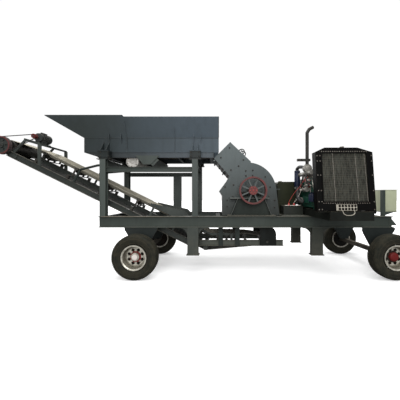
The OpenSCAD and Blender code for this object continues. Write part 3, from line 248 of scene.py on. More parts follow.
def sprayed(name, colour, tint, dust, rust, rough=0.5, grime=0.0, tint_and_light_ramp=None, runny=0.3, gloss=0.3):
    """Sprayed plate: a colour that drifts to a tint in patches, or ramps along an axis between two places,
    with runs, dust on what faces up, rust at edges and in small spots, a fine orange peel and the slow waves
    of rolled plate. Some finishes below use the ramp along an axis for painted light and shade."""
    made = Finish(name)
    patches = made.noise(1.3, 4, 0.6).between(0.35, 0.68)
    if tint_and_light_ramp:
        axis, start, end = tint_and_light_ramp
        patches = made.along(axis).between(start, end) * 0.85 + patches * 0.15
    runs = made.noise(3.0, 4, 0.6, (3, 3, 0.35)).between(0.42, 0.75)
    fine = made.noise(55, 4, 0.65)
    base = made.blend(patches, colour, tint)
    shade = tuple(int(part * 0.78) for part in colour)
    base = made.blend(runs * runny, base, shade)
    spots = made.noise(24, 5, 0.75).between(0.66, 0.76) * made.noise(2.2, 2).between(0.5, 0.7)
    wear_and_side_shade = made.edges(0.007) * fine.between(0.38, 0.62)
    worn = (spots + wear_and_side_shade * 0.8).between(0.05, 1.0) * rust
    base = made.blend(worn, base, (103, 78, 60))
    low = made.along(2).between(1.3, 0.1) * grime
    streaks = 0.35 + 0.65 * made.noise(6, 5, 0.7).between(0.3, 0.7)
    dusty = (made.facing(2).between(0.35, 0.95) * dust + low) * streaks
    base = made.blend(dusty, base, (150, 141, 126))
    grain = rough + 0.16 * (fine - 0.5) + 0.25 * dusty + 0.2 * worn
    waves = made.noise(2.6, 2, 0.5) * 0.004 + fine * 0.0006 + made.noise(260, 2) * 0.0002
    return made.surface(base, grain, made.bump(waves, 1.0, 0.8), gloss=gloss)


chassis_paint = sprayed("chassis_paint", (48, 56, 51), (57, 64, 60), dust=0.28, rust=0.45, grime=0.2)
coat(chassis_paint, "rails", "deck_plate", "hopper_beams", "cabinet_stand")
coat(sprayed("beam_paint", (40, 46, 42), (48, 54, 50), dust=0.08, rust=0.45, gloss=0.1), "crossmembers")
coat(sprayed("post_paint", (68, 75, 71), (54, 61, 58), dust=0.28, rust=0.45, grime=0.2,
             tint_and_light_ramp=(0, -1.9, 0.0)), "hopper_posts")
coat(sprayed("leg_paint", (50, 56, 52), (34, 39, 33), dust=0.25, rust=0.45, grime=0.15, tint_and_light_ramp=(0, 0.3, 2.4)),
     "support_legs")
coat(sprayed("bracket_paint", (33, 38, 37), (42, 46, 44), dust=0.2, rust=0.5, gloss=0.15), "axle_brackets")

underside = sprayed("running_gear", (24, 25, 22), (38, 35, 29), dust=0.25, rust=0.7, rough=0.6, grime=0.2,
                    gloss=0.15)
coat(underside, "axles", "spring_leaves")


def put(name, shells, finish, body="plant", hides=(), smooth=32):
    """One piece from shells. A shell is a grid of points in chassis millimetres, rows by columns, whose
    columns run round and meet; a row shrunk to a point closes an end. Quads join neighbours, and folds
    of more than so many degrees as smooth says stay sharp."""
    points = []
    faces = []
    count = 0
    for shell in shells:
        rows, columns = shell.shape[:2]
        index = np.arange(rows * columns).reshape(rows, columns) + count
        after = np.roll(index, -1, axis=1)
        faces.append(np.stack([index[:-1], after[:-1], after[1:], index[1:]], -1).reshape(-1, 4))
        points.append(shell.reshape(-1, 3))
        count += rows * columns
    mesh = bpy.data.meshes.new(name)
    mesh.from_pydata(metres(np.concatenate(points)).tolist(), [], np.concatenate(faces).tolist())
    work = bmesh.new()
    work.from_mesh(mesh)
    bmesh.ops.remove_doubles(work, verts=work.verts, dist=1e-5)
    bmesh.ops.dissolve_degenerate(work, edges=work.edges, dist=1e-6)
    bmesh.ops.recalc_face_normals(work, faces=work.faces)
    work.to_mesh(mesh)
    work.free()
    mesh.shade_smooth()
    mesh.set_sharp_from_angle(angle=math.radians(smooth))
    mesh.materials.append(finish.material)
    made = placed(name, mesh)
    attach(made, body)
    if hides:
        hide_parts(*hides)


def softened(low, high, radius):
    """A block with rounded edges: its outline is a rounded rectangle whose corner arcs shrink as the
    rows climb the quarter circles at both ends, and it closes at its middle."""
    low = np.asarray(low, float)
    high = np.asarray(high, float)
    half = (high - low) / 2
    radius = min(radius, half.min() * 0.98)
    turn = np.linspace(0, math.pi / 2, 4)
    inset = radius * (1 - np.sin(turn))
    climb = radius * (1 - np.cos(turn))
    inset = np.concatenate([inset, inset[::-1]])
    rise = np.concatenate([-half[2] + climb, half[2] - climb[::-1]])
    t = np.concatenate([np.linspace(0, math.pi / 2, 5) + quarter * math.pi / 2 for quarter in range(4)])
    quadrant = np.repeat(np.array([[1, 1], [-1, 1], [-1, -1], [1, -1]]), 5, axis=0)
    arc = np.stack([np.cos(t), np.sin(t)], -1)
    flat = quadrant * (half[:2] - radius) + arc * (radius - inset)[:, None, None]
    body = np.concatenate([flat, (rise[:, None] + 0 * t)[..., None]], -1)
    return (low + high) / 2 + np.concatenate([body[:1] * (0, 0, 1), body, body[-1:] * (0, 0, 1)])


def lined(low, high, places, radius, axis=1):
    """Softened blocks that differ only in where they stand along one axis."""
    step = np.eye(3)[axis]
    return [softened(low + step * place, high + step * place, radius) for place in places]


# The joists' top edges: a pale strip, partly bare steel where trodden and partly painted highlight, paler
# towards the conveyor end.
joist_low, joist_high = span("rails")
bare_and_highlight_edge = sprayed("joist_bare_and_highlight_edge", (122, 113, 99), (64, 68, 64), dust=0.3, rust=0.6, tint_and_light_ramp=(0, -1.4, 0.3),
                  gloss=0.1)
put("joist_edges", lined([4, -1, joist_high[2] - 9], [6236, 1, joist_high[2] + 0.5],
                         (joist_low[1], joist_high[1]), 0.7), bare_and_highlight_edge)

# ---------------------------------------- wheels
# Four single wheels: a bias-ply tyre with a ribbed tread on a pressed steel disc rim, held by eight studs.
# The rims are sprayed silver. Road dust sits in the tread and browns the walls.


def aside(axis):
    """Two unit vectors square to an axis and to each other, which with it make a right-handed set."""
    axis = np.asarray(axis, float) / np.linalg.norm(axis)
    up = np.array([0.0, 0.0, 1.0]) if abs(axis[2]) < 0.9 else np.array([1.0, 0.0, 0.0])
    first = np.cross(up, axis)
    first /= np.linalg.norm(first)
    return axis, first, np.cross(axis, first)


def turned(profile, start, axis, sides, phase=0.0):
    """A profile of (radius, distance along) pairs turned about an axis through start: each point is
    start + axis * along + radius * (cos t * first + sin t * second)."""
    axis, first, second = aside(axis)
    radius, along = np.array(profile, float).T
    t = phase + np.arange(sides) * 2 * math.pi / sides
    ring = np.cos(t)[:, None] * first + np.sin(t)[:, None] * second
    return np.asarray(start, float) + along[:, None, None] * axis + radius[:, None, None] * ring


def hexagons(places, axis, across, high):
    """Bolt heads: six-sided turned shells with a chamfered top over a round washer."""
    r = across / 2 / math.cos(math.pi / 6)
    head = [(0, high), (0.8 * r, high), (r, high * 0.82), (r, 2), (0, 2)]
    washer = [(0, 3), (1.25 * r, 3), (1.25 * r, 0), (0, 0)]
    shells = []
    for spot in places:
        shells.append(turned(head, spot, axis, 6, 0.3))
        shells.append(turned(washer, spot, axis, 14))
    return shells


def ring_of(centre, radius, count, y, phase=0.0):
    """Places evenly round a circle that faces the near side."""
    t = phase + np.arange(count) * 2 * math.pi / count
    return np.stack([centre[0] + radius * np.cos(t), np.full(count, y), centre[1] + radius * np.sin(t)], -1)


def patchy(name, patch, clean, worn, rough, share=1.0, metallic=0.0, relief=None, edge=None, gloss=0.5):
    """A finish whose wear comes in patches. Patch is where they start and are full, then their noise.
    They mix two colours and change the roughness by the second number of rough. Relief is the bump's
    depth and strength, then its noise, or else the patches. Edge is the worn edges' width and colour."""
    made = Finish(name)
    wear = made.noise(*patch[2:]).between(*patch[:2])
    colour = made.blend(wear * share, clean, worn)
    if edge:
        colour = made.blend(made.edges(edge[0]) * 0.5, colour, edge[1:])
    normal = None
    if relief:
        normal = made.bump(made.noise(*relief[2:]) if relief[2:] else wear, *relief[:2])
    return made.surface(colour, rough[0] + rough[1] * wear, normal, metallic, gloss)


tyre_rubber = Finish("tyre_rubber")
tread_dust = tyre_rubber.noise(9, 5, 0.7).between(0.3, 0.7)
rubber_grain = tyre_rubber.noise(70, 4, 0.7)
black = tyre_rubber.blend(rubber_grain.between(0.3, 0.75), (20, 22, 17), (28, 31, 24))
black = tyre_rubber.blend(tread_dust * 0.22, black, (92, 84, 68))
black = tyre_rubber.blend(tyre_rubber.edges(0.008) * 0.25, black, (120, 108, 92))
tyre_rubber.surface(black, 0.72 + 0.2 * tread_dust, tyre_rubber.bump(rubber_grain, 0.0012, 0.6), gloss=0.2)


def tyre(node):
    """Radius and width follow a closed wall-and-crown profile turned about the axle. The crown sinks at
    its rib grooves, and the shoulders where the angle, skewed across the tread, falls in a sipe."""
    low, high = span(node)
    centre = (low + high) / 2
    half = (high[1] - low[1]) / 2
    full = (high[2] - low[2]) / 2
    profile = np.array([
        (250, -0.72), (258, -0.80), (268, -0.84), (286, -0.90), (289, -0.885), (293, -0.905), (318, -0.96),
        (345, -0.99), (366, -1.00), (369, -0.975), (373, -0.995), (392, -0.97), (405, -0.95), (414, -0.93),
        (424, -0.90), (434, -0.84), (441, -0.76), (445, -0.62), (447, -0.46), (447.1, -0.44), (447.2, -0.40),
        (447.3, -0.38), (449, -0.2), (450, -0.06), (450, -0.04)])
    mirrored = profile[::-1] * (1, -1)
    bore = np.array([(247, 0.68), (246, 0.0), (247, -0.68), (250, -0.72)])
    loop = np.concatenate([profile, mirrored, bore])
    sipes = 72
    sides = sipes * 7
    t = np.arange(sides) * 2 * math.pi / sides
    radius, across = loop[:, 0], loop[:, 1]
    turns = t * sipes / (2 * math.pi) + 0.5 * (across[:, None] > 0) + 0.8 * np.abs(across[:, None])
    sipe = (turns % 1) < 0.17
    shoulder = (radius > 430) & (np.abs(across) > 0.30)
    rib = (radius > 446.9) & (np.abs(np.abs(across) - 0.42) < 0.025) | (radius > 449.5)
    depth = 4.0 * (sipe & shoulder[:, None]) + 9.0 * rib[:, None]
    reach = (radius[:, None] - np.minimum(depth, 9)) * full / 450
    width = across[:, None] * half + 0 * t
    return np.stack([centre[0] + reach * np.cos(t), centre[1] + width, centre[2] + reach * np.sin(t)], -1)


rim_silver = Finish("rim_silver")
brake_dust = rim_silver.noise(14, 5, 0.7).between(0.4, 0.72)
silver = rim_silver.blend(brake_dust * 0.7, (208, 205, 192), (86, 78, 66))
# The barrel in the rim's well, which does not face along the axle, is darkened: painted shade.
well_shade = rim_silver.facing(1).size().between(0.75, 0.35)
silver = rim_silver.blend(well_shade * 0.6, silver, (88, 83, 70))
silver = rim_silver.blend(rim_silver.edges(0.010) * 0.6, silver, (84, 70, 58))
rim_silver.surface(silver, 0.34 + 0.3 * brake_dust, rim_silver.bump(rim_silver.noise(120, 3), 0.0008, 0.5),
                   0.55)
coat(rim_silver, "rim_rear_near", "rim_rear_far", "rim_front_near", "rim_front_far")

nut_steel = patchy("zinc_nuts", (0.4, 0.7, 90, 4, 0.7), (120, 118, 112), (92, 74, 60), (0.4, 0.3),
                   metallic=0.6)
cap_red = sprayed("cap_red", (104, 27, 24), (86, 27, 24), dust=0.08, rust=0.3, gloss=0.2)
flange_red = sprayed("flange_red", (126, 40, 38), (104, 38, 36), dust=0.15, rust=0.5)
cap_white = sprayed("cap_white", (232, 224, 220), (214, 204, 198), dust=0.1, rust=0.15)
hub_iron = sprayed("hub_iron", (40, 36, 32), (58, 52, 46), dust=0.2, rust=0.8, gloss=0.2)
drum_iron = sprayed("drum_iron", (24, 23, 21), (40, 34, 28), dust=0.2, rust=0.9, rough=0.7, gloss=0.1)
small_cap = [(0, 41), (30, 40), (52, 37), (64, 30), (67, 12), (67, 0), (0, 0)]
domed_cap = [(0, 42), (44, 40), (72, 34), (86, 23), (92, 8), (92, -30), (0, -30)]
brake_drum = [(0, 0), (60, 0), (198, 6), (204, 20), (204, 86), (196, 92), (0, 92)]
hand_hole_lip = [(25, 0), (25, 3), (36, 3), (38, 0), (25, 0)]
rim_bead = [(249, 6), (254, 3), (256, -4), (250, -10), (243, -6), (243, 2), (249, 6)]
disc_y, nut_y, cap_y, drum_y = 966, 970, 1000, 838
bead_inset = 70
stud_circle = 100
hand_hole_circle = 145
hubs = {"rear_near": (flange_red, 108, cap_white, small_cap),
        "rear_far": (nut_steel, 108, cap_white, small_cap),
        "front_near": (hub_iron, 120, cap_red, domed_cap),
        "front_far": (nut_steel, 108, cap_red, domed_cap)}
for place, (stud_finish, flange_r, cap_finish, cap) in hubs.items():
    wheel = "wheel_" + place
    tyre_node = "tyre_" + place
    low, high = span(tyre_node)
    axle_x, _, axle_z = (low + high) / 2
    out = -1 if place.endswith("near") else 1
    outward = (0, out, 0)
    rim_y = max(abs(corner[1]) for corner in span("rim_" + place)) - bead_inset
    put("tyre_body_" + place, [tyre(tyre_node)], tyre_rubber, wheel, [tyre_node], 40)
    studs = ring_of((axle_x, axle_z), stud_circle, 8, out * nut_y, math.pi / 8)
    holes = ring_of((axle_x, axle_z), hand_hole_circle, 8, out * disc_y, math.pi / 8)
    lips = [turned(hand_hole_lip, hole, outward, 20) for hole in holes]
    flange = [(60, 0), (60, 9), (flange_r - 3, 9), (flange_r, 0), (60, 0)]
    disc, hub, drum, bead = [
        [turned(profile, [axle_x, out * y, axle_z], outward, sides)] for profile, y, sides in (
        (flange, disc_y, 48), (cap, cap_y, 40), (brake_drum, drum_y, 64), (rim_bead, rim_y, 96))]
    for name, shells, finish, slot in (
            ("wheel_flange_", disc, stud_finish, "rim_steel"),
            ("wheel_nuts_", hexagons(studs, outward, 24, 24), stud_finish, "rim_steel"),
            ("hand_hole_lips_", lips, drum_iron, "rim_steel"),
            ("hub_cap_", hub, cap_finish, "rim_steel"),
            ("brake_drum_", drum, drum_iron, "worn_steel"),
            ("rim_flange_", bead, rim_silver, "rim_steel")):
        put(name + place, shells, finish, wheel)

# ---------------------------------------- hopper and its stand
# A flared box of 10 mm plate on a sprung trough. The plates are bent, butt welded along the fold and
# stiffened by upright ribs, and sprayed the same colour as the crusher. Their colour grows lighter and
# bluer along x: painted light.

# The hopper's plates ramp from dark to lighter and bluer along x: painted light.
hopper_paint = sprayed("hopper_paint", (50, 56, 55), (76, 87, 96), dust=0.12, rust=0.3, tint_and_light_ramp=(0, -2.6, 0.4),
                       runny=0.16)
coat(hopper_paint, "hopper_sides", "hopper_apron", "hopper_end_plate")
# The trough walls and spring ears ramp the same way: painted light.
coat(sprayed("wall_paint", (39, 45, 45), (68, 79, 87), dust=0.1, rust=0.3, tint_and_light_ramp=(0, -2.6, 1.0), runny=0.2,
             gloss=0.2), "trough_walls", "spring_ears")
black_paint = sprayed("black_paint", (24, 29, 28), (36, 42, 41), dust=0.2, rust=0.4, gloss=0.2)
coat(black_paint, "feeder_springs")
# The trough frame ramps the same way: painted light.
coat(sprayed("trough_frame_paint", (34, 39, 39), (66, 75, 82), dust=0.3, rust=0.4, tint_and_light_ramp=(0, -2.2, 0.6)),
     "trough_frame")
bolt_paint = sprayed("bolt_paint", (30, 33, 32), (44, 46, 44), dust=0.15, rust=0.5, gloss=0.15)
scraped = patchy("scraped_steel", (0.3, 0.7, 30, 5, 0.7, (0.15, 1, 1)), (92, 84, 76), (128, 124, 118),
                 (0.6, -0.25), metallic=0.5, relief=(0.0006, 1.0))
coat(scraped, "trough_floor")


def tube(path, radius, sides):
    """A round tube: a circle square to its path at each point, shut flat at both ends. A path of more
    than two points is first made a smooth curve. The hint is a direction that the path keeps clear of."""
    path = smooth_path(path) if len(path) > 2 else np.asarray(path, float)
    ahead = np.gradient(path, axis=0)
    ahead /= np.linalg.norm(ahead, axis=1)[:, None]
    hint = np.array([0.11, 0.93, 0.35]) if abs(ahead[:, 1]).max() < 0.9 else np.array([0.93, 0.11, 0.35])
    first = np.cross(ahead, hint)
    first /= np.linalg.norm(first, axis=1)[:, None]
    second = np.cross(ahead, first)
    t = np.arange(sides) * 2 * math.pi / sides
    ring = np.cos(t)[None, :, None] * first[:, None] + np.sin(t)[None, :, None] * second[:, None]
    body = path[:, None] + radius * ring
    start = path[0] + 0 * body[:1]
    end = path[-1] + 0 * body[:1]
    return np.concatenate([start, body, end])


def smooth_path(points):
    """Points on the Catmull-Rom curve: each stretch blends its four nearest points by cubic shares."""
    steps = 8
    p = np.asarray(points, float)
    p = np.concatenate([2 * p[:1] - p[1:2], p, 2 * p[-1:] - p[-2:-1]])
    t = (np.arange(steps) / steps)[None, :, None]
    a, b, c, d = p[:-3, None], p[1:-2, None], p[2:-1, None], p[3:, None]
    curve = 2 * b + (c - a) * t + (2 * a - 5 * b + 4 * c - d) * t ** 2 + (3 * b - a - 3 * c + d) * t ** 3
    return np.concatenate([0.5 * curve.reshape(-1, 3), p[-2:-1]])


weld_metal = sprayed("weld_bead", (46, 52, 52), (62, 70, 74), dust=0.2, rust=0.7)


def weld(start, end, radius):
    """A weld bead: a thin straight tube whose radius swells and shrinks in a sine wave along it."""
    start = np.asarray(start, float)
    end = np.asarray(end, float)
    count = int(np.linalg.norm(end - start) / 40) + 2
    path = start + np.linspace(0, 1, count)[:, None] * (end - start)
    shell = tube(np.stack([path[0], path[-1]]), radius, 8)
    rows = np.linspace(0, 1, count)[:, None, None] * (shell[2] - shell[1])[None]
    body = shell[1][None] + rows
    swell = 1 + 0.12 * np.sin(np.arange(count) * 2.4)[:, None, None]
    body = path[:, None] + (body - path[:, None]) * swell
    return np.concatenate([shell[:1], body, shell[-1:]])


def both_sides(points):
    """Points and their mirror images over the centre line: the near side first, y turned to -y."""
    return [np.asarray(points, float) * (1, side, 1) for side in (-1, 1)]


def seam_beads(seams):
    """Weld beads for rows of start, end and radius on the far side, and for their mirror images."""
    return [weld(*ends, radius) for start, end, radius in seams for ends in both_sides([start, end])]


seams = [([-460, 503, 2941], [2514, 503, 2941], 5), ([-462, 497, 2624], [-462, 497, 2936], 4),
         ([-464, 498, 2946], [-1200, 676, 3380], 5), ([2514, 508, 2950], [2514, 682, 3350], 5)]
seams += [([x, 502, 2625], [x, 502, 2936], 4) for x in (478, 1540)]
put("hopper_welds", seam_beads(seams), weld_metal)


def gusset(corners, thick):
    """A flat plate with straight edges: its outline stepped through its thickness, shut at both faces
    by the outline drawn in to its middle."""
    outline = np.asarray(corners, float)
    thick = np.asarray(thick, float)
    middle = outline.mean(0) + 0 * outline
    return np.stack([middle, outline, outline + thick, middle + thick])


gussets = []
for x in (100, 364, 1960, 2120):
    for corners in both_sides([[x, 500, 2800], [x, 500, 3010], [x, 552, 3030], [x, 560, 2960]]):
        gussets.append(gusset(corners, [9, 0, 0]))
put("hopper_gussets", gussets, hopper_paint)


def side_bolts(places, across, high):
    """Bolt heads at places on the far side and at their mirror images, all facing outwards."""
    near, far = both_sides(places)
    return hexagons(near, (0, -1, 0), across, high) + hexagons(far, (0, 1, 0), across, high)


stand_bolts = []
for post_x in (67, 2005):
    seat = [(post_x + dx, y, 2459) for dx in (-105, 105) for y in (582, 662)]
    web = [(post_x + dx, 665, z) for dx in (-85, 85) for z in (2515, 2595)]
    stand_bolts += hexagons(np.concatenate(both_sides(seat)), (0, 0, 1), 24, 16)
    stand_bolts += side_bolts(web, 22, 13)
put("stand_bolts", stand_bolts, bolt_paint)

# ---------------------------------------- vibrator motors
# Two out-of-balance motors with cast bodies, cooling ribs round them and turned end covers, which
# shake the trough. They hang on bent plates below it.

cast_alloy = patchy("cast_alloy", (0.4, 0.7, 5, 4, 0.6), (176, 173, 168), (118, 114, 106), (0.42, 0.25),
                    0.45, 0.35, (0.0008, 0.7, 80, 5, 0.7), (0.006, 190, 188, 182))
coat(cast_alloy, "exciter_motors")
coat(chassis_paint, "exciter_mount")
vibrator = (572, 2433)
cover_y = 425
rib = [(117, 0), (131, 1), (133, 4), (131, 7), (117, 8), (117, 0)]
cover = [(0, 6), (44, 6), (48, 2), (88, 2), (96, 5), (128, 5), (139, 0), (0, 0)]
ribs = []
for side in (-1, 1):
    for back in range(90, 360, 30):
        ribs.append(turned(rib, [vibrator[0], side * (cover_y - back), vibrator[1]], (0, -side, 0), 48))
    ribs.append(turned(cover, [vibrator[0], side * cover_y, vibrator[1]], (0, side, 0), 56))
put("vibrator_ribs", ribs, cast_alloy)
cover_bolts = side_bolts(ring_of(vibrator, 112, 6, cover_y + 5, 0.4), 18, 10)
put("vibrator_bolts", cover_bolts, nut_steel)

# ---------------------------------------- crusher
# Two thick side plates with a welded hood and mouth between them, lined inside. The liners' bolts show
# on the sides. The feet and the bearing pedestals are welded from plate and bolted down.

crusher_paint = sprayed("crusher_paint", (43, 47, 44), (76, 85, 86), dust=0.2, rust=0.35, rough=0.46,
                        tint_and_light_ramp=(2, 1.15, 2.75), runny=0.2)
coat(crusher_paint, "crusher_sides", "crusher_shell", "chute_plates")
# Its heavy dust pales the pedestals' top faces: partly real dust, partly painted highlight.
coat(sprayed("bearing_stand_paint", (37, 42, 39), (47, 52, 48), dust=0.6, rust=0.4, gloss=0.1),
     "bearing_pedestals", "bearing_housings")
coat(scraped, "hammer_rotor")
rotor_axis = (3246, 1777)
rotor_x, rotor_z = rotor_axis
side_y = 420
liners = [(2757, 2740), (2564, 2519), (3070, 2468), (3123, 2224), (3280, 2233), (3126, 2112), (3277, 2116),
          (3669, 1860), (2845, 1905), (2656, 1860), (3560, 2090), (2960, 2330), (2790, 2240), (2705, 1560),
          (2705, 1420), (3770, 1560), (3770, 1400), (3640, 1640), (2830, 1640)]
put("liner_bolts", side_bolts([(x, side_y, z) for x, z in liners], 27, 15), bolt_paint)

hood_middle = np.array([2999.0, 0, 2657.0])
down_hood = np.array([0.731, 0, -0.682])
off_hood = np.array([0.682, 0, 0.731])
half_turn = np.linspace(0, math.pi, 9)[:, None]
bows = []
for y, start, end in ((-340, -40, 86), (-262, 6, 138), (262, 6, 138), (340, -40, 86)):
    down = (start + end) / 2 - (end - start) / 2 * np.cos(half_turn)
    off = 104 * np.sin(half_turn) ** 0.7 - 6
    bows.append(tube(hood_middle + [0, y, 0] + down * down_hood + off * off_hood, 10.5, 12))
put("lifting_bows", bows, bolt_paint)

seams = [([2766, 401, 2875], [3232, 401, 2440], 5)]
seams += [([x, side_y + 1, 1596], [x + 150, side_y + 1, 1596], 4) for x in (2765, 3475)]
put("crusher_welds", seam_beads(seams), weld_metal)

mouth_bolts = [(2409 + 348 * share, y, 2507 - 402 * share)
               for share in (0.36, 0.55, 0.74, 0.92) for y in (-320, -110, 110, 320)]
put("mouth_bolts", hexagons(mouth_bolts, (-0.76, 0, -0.65), 24, 15), nut_steel)

feet = both_sides([(rotor_x + dx, y, 1680) for dx in (-165, 165) for y in (490, 550)])
housing_bolts = hexagons(np.concatenate(feet), (0, 0, 1), 30, 24)
housing_bolts += side_bolts(ring_of(rotor_axis, 92, 6, 570), 18, 12)
put("housing_bolts", housing_bolts, bolt_paint)

# Near-black plates behind the lower half of the flywheel stand for the deep shade there: painted shadow.
shadow_plate_black = sprayed("painted_shadow_black", (18, 19, 17), (28, 29, 26), dust=0.1, rust=0.5, gloss=0.1)
put("painted_shadow_plates", lined([rotor_x - 232, -3, 1604], [rotor_x + 232, 3, 1752], (-427, 427), 2), shadow_plate_black)

# Pale strips along the pedestals' top edges and slanted edges: painted highlights.
edge_highlight_paint = sprayed("painted_edge_highlights", (112, 118, 115), (88, 92, 88), dust=0.2, rust=0.6)
stand_foot, stand_top = (corner[2] for corner in span("bearing_pedestals"))
highlight_lines = lined([2762, -3, stand_top - 14], [3624, 3, stand_top + 1], (-583, 583), 1.5)
for top_x, foot_x in ((2925, 2776), (3519, 3666)):
    for ends in both_sides([(top_x, 578, stand_top - 20), (foot_x, 578, stand_foot + 16)]):
        highlight_lines.append(tube(ends, 3.5, 8))
put("painted_edge_highlights", highlight_lines, edge_highlight_paint)

# ---------------------------------------- flywheel and drive
# A cast flywheel with a turned rim, eight spokes and a keyed hub. Rim and hub are red, the spokes were
# sprayed with the crusher. The same reds are on the conveyor's sheaves.


def two_red(name, centre, inner, outer, spoke, rim=0.66, wear_and_side_shade=0.0):
    """Red where the distance from the axle is below inner or above outer, and spoke grey between. The
    rim's red is darker by a factor, and the last argument darkens what does not face along the axle with
    painted shade."""
    made = Finish(name)
    moved = made.node("ShaderNodeVectorMath", None, {0: made.place(), 1: tuple(-metres(centre))})
    flat = made.node("ShaderNodeVectorMath", {"operation": "MULTIPLY"}, {0: moved, 1: (1, 0, 1)})
    radius = made.node("ShaderNodeVectorMath", {"operation": "LENGTH"}, {0: flat}, 1)
    red = 1 - radius.between(inner, inner + 0.006) * (1 - radius.between(outer - 0.004, outer))
    patch = made.noise(9, 4, 0.6).between(0.35, 0.7)
    hub_red = made.blend(patch, (98, 34, 31), (78, 31, 29))
    fresh, faded = [[int(part * rim) for part in colour] for colour in ((138, 48, 44), (102, 42, 39))]
    rim_red = made.blend(patch, fresh, faded)
    warm = made.blend(radius.between(inner + 0.02, inner + 0.04), hub_red, rim_red)
    # The rim's side, which does not face along the axle, is darkened by the last argument: painted shade.
    tread = 1 - made.facing(1).size().between(0.97, 0.99)
    warm = made.blend(tread * wear_and_side_shade, warm, (46, 36, 36))
    base = made.blend(red, spoke, warm)
    grain = made.noise(60, 4, 0.7)
    worn = (made.edges(0.006) * grain.between(0.35, 0.6) + made.noise(30, 5, 0.8).between(0.66, 0.74)) * 0.6
    base = made.blend(worn, base, (84, 66, 54))
    base = made.blend(made.facing(2).between(0.4, 1) * 0.3, base, (150, 141, 126))
    return made.surface(base, 0.48 + 0.2 * grain, made.bump(grain, 0.0008, 0.7))


coat(two_red("flywheel_paint", [rotor_x, 0, rotor_z], 0.098, 0.2605, (70, 76, 75)),
     "flywheel", "drive_pulley")
red_paint = sprayed("red_paint", (150, 52, 48), (112, 46, 42), dust=0.2, rust=0.5)
guard_paint = sprayed("guard_paint", (66, 73, 71), (80, 87, 86), dust=0.3, rust=0.4)
coat(guard_paint, "belt_guard")
crank_axis = (4760, 1650)
axle_gap = crank_axis[0] - rotor_x
guard_y = span("belt_guard")[1][1]
guard_bolts = []
for (x, z), radius in ((rotor_axis, 318), (crank_axis, -205)):
    for a in np.linspace(math.radians(97), math.radians(263), 7):
        guard_bolts.append((x + radius * math.cos(a), guard_y, z + radius * math.sin(a)))
for share in (0.2, 0.4, 0.6, 0.8):
    for start, end in ((2090, 1854), (1464, 1446)):
        guard_bolts.append((rotor_x + axle_gap * share, guard_y, start + (end - start) * share))
put("guard_bolts", hexagons(guard_bolts, (0, 1, 0), 20, 8), bolt_paint)
hatch = [(0, 6), (118, 6), (124, 0), (0, 0)]
hatches = [turned(hatch, [x, guard_y, z], (0, 1, 0), 48) for x, z in (rotor_axis, crank_axis)]
put("guard_hatches", hatches, guard_paint)
hub_bolts = hexagons(ring_of(rotor_axis, 62, 6, -721), (0, -1, 0), 20, 10)
put("hub_bolts", hub_bolts, red_paint, "rotor")
shaft_end = [(0, 12), (16, 12), (20, 8), (55, 6), (58, 0), (0, 0)]
put("shaft_end", [turned(shaft_end, [rotor_x, -712, rotor_z], (0, -1, 0), 40)], red_paint,
    "rotor")

# ---------------------------------------- engine
# A green diesel on a fabricated skid: a cast block with three rocker covers, injection pump and pipes,
# filters, starter, alternator, hoses and a turbocharger under the stack.

engine_paint = sprayed("engine_green", (14, 58, 46), (24, 70, 56), dust=0.25, rust=0.5, rough=0.42)
coat(engine_paint, "engine_block")
coat(sprayed("skid_black", (16, 18, 15), (28, 31, 27), dust=0.25, rust=0.3, rough=0.55, gloss=0.12),
     "engine_skid")
engine_alloy = patchy("engine_alloy", (0.4, 0.6, 7, 5, 0.65), (152, 149, 143), (92, 89, 82), (0.45, 0.3),
                      0.75, 0.3, (0.0008, 0.7, 70, 4, 0.7), (0.008, 176, 174, 168), 0.3)
coat(engine_alloy, "engine_top")
coat(sprayed("stack_steel", (38, 38, 36), (56, 53, 48), dust=0.1, rust=0.8, rough=0.6, gloss=0.2),
     "exhaust_pipe")

heads = (-880, -580, -280)
put("rocker_covers", lined([4615, 0, 2226], [4905, 250, 2272], heads, 22), engine_alloy)
cover_nuts = [(x, y + 125, 2271) for y in heads for x in (4680, 4840)]
put("cover_nuts", hexagons(cover_nuts, (0, 0, 1), 22, 14), nut_steel)
flanges = lined([4470, -960, 1420], [5050, 88, 1436], (150, 610), 6, axis=2)
flanges.append(softened([4440, -620, 1500], [4485, -330, 1640], 12))
flanges.append(softened([5030, -800, 1560], [5066, -200, 1850], 14))
put("block_flanges", flanges, engine_paint)
flange_bolts = [(4476, y, 1578) for y in range(-900, 60, 95)]
put("flange_bolts", hexagons(flange_bolts, (-1, 0, 0), 17, 9), nut_steel)

front_bolts = [(x, -948, z) for x in (4500, 4640, 4880, 5020) for z in (1470, 1960)]
bell_bolts = hexagons(ring_of(crank_axis, 232, 12, 260), (0, 1, 0), 22, 12)
bell_bolts += hexagons(ring_of(crank_axis, 102, 8, 460), (0, 1, 0), 18, 10)
put("bell_bolts", bell_bolts + hexagons(front_bolts, (0, -1, 0), 24, 12), nut_steel)
end_plates = [softened([4500, 72, 1950], [5020, 92, 2050], 6)]
end_plates += lined([0, -960, 1740], [14, 88, 1752], (4470, 5036), 4, axis=0)
put("engine_plates", end_plates, engine_paint)

dark_blue = sprayed("canister_blue", (19, 26, 48), (26, 35, 60), dust=0.2, rust=0.2, rough=0.4)
canister = [(0, 2), (40, 2), (62, -6), (66, -16), (66, -60), (64, -64), (66, -68), (66, -380), (62, -392),
            (40, -402), (0, -402)]
spin_on = [(0, 0), (34, 0), (40, 6), (42, 20), (42, 140), (36, 152), (20, 156), (20, 190), (0, 190)]
filters = [turned(canister, [4390, -120, 2262], (0, 0, 1), 40)]
filters += [turned(spin_on, [4436, y, 1540], (0, 0, 1), 32) for y in (-860, -760)]
put("air_and_oil_canisters", filters, dark_blue)

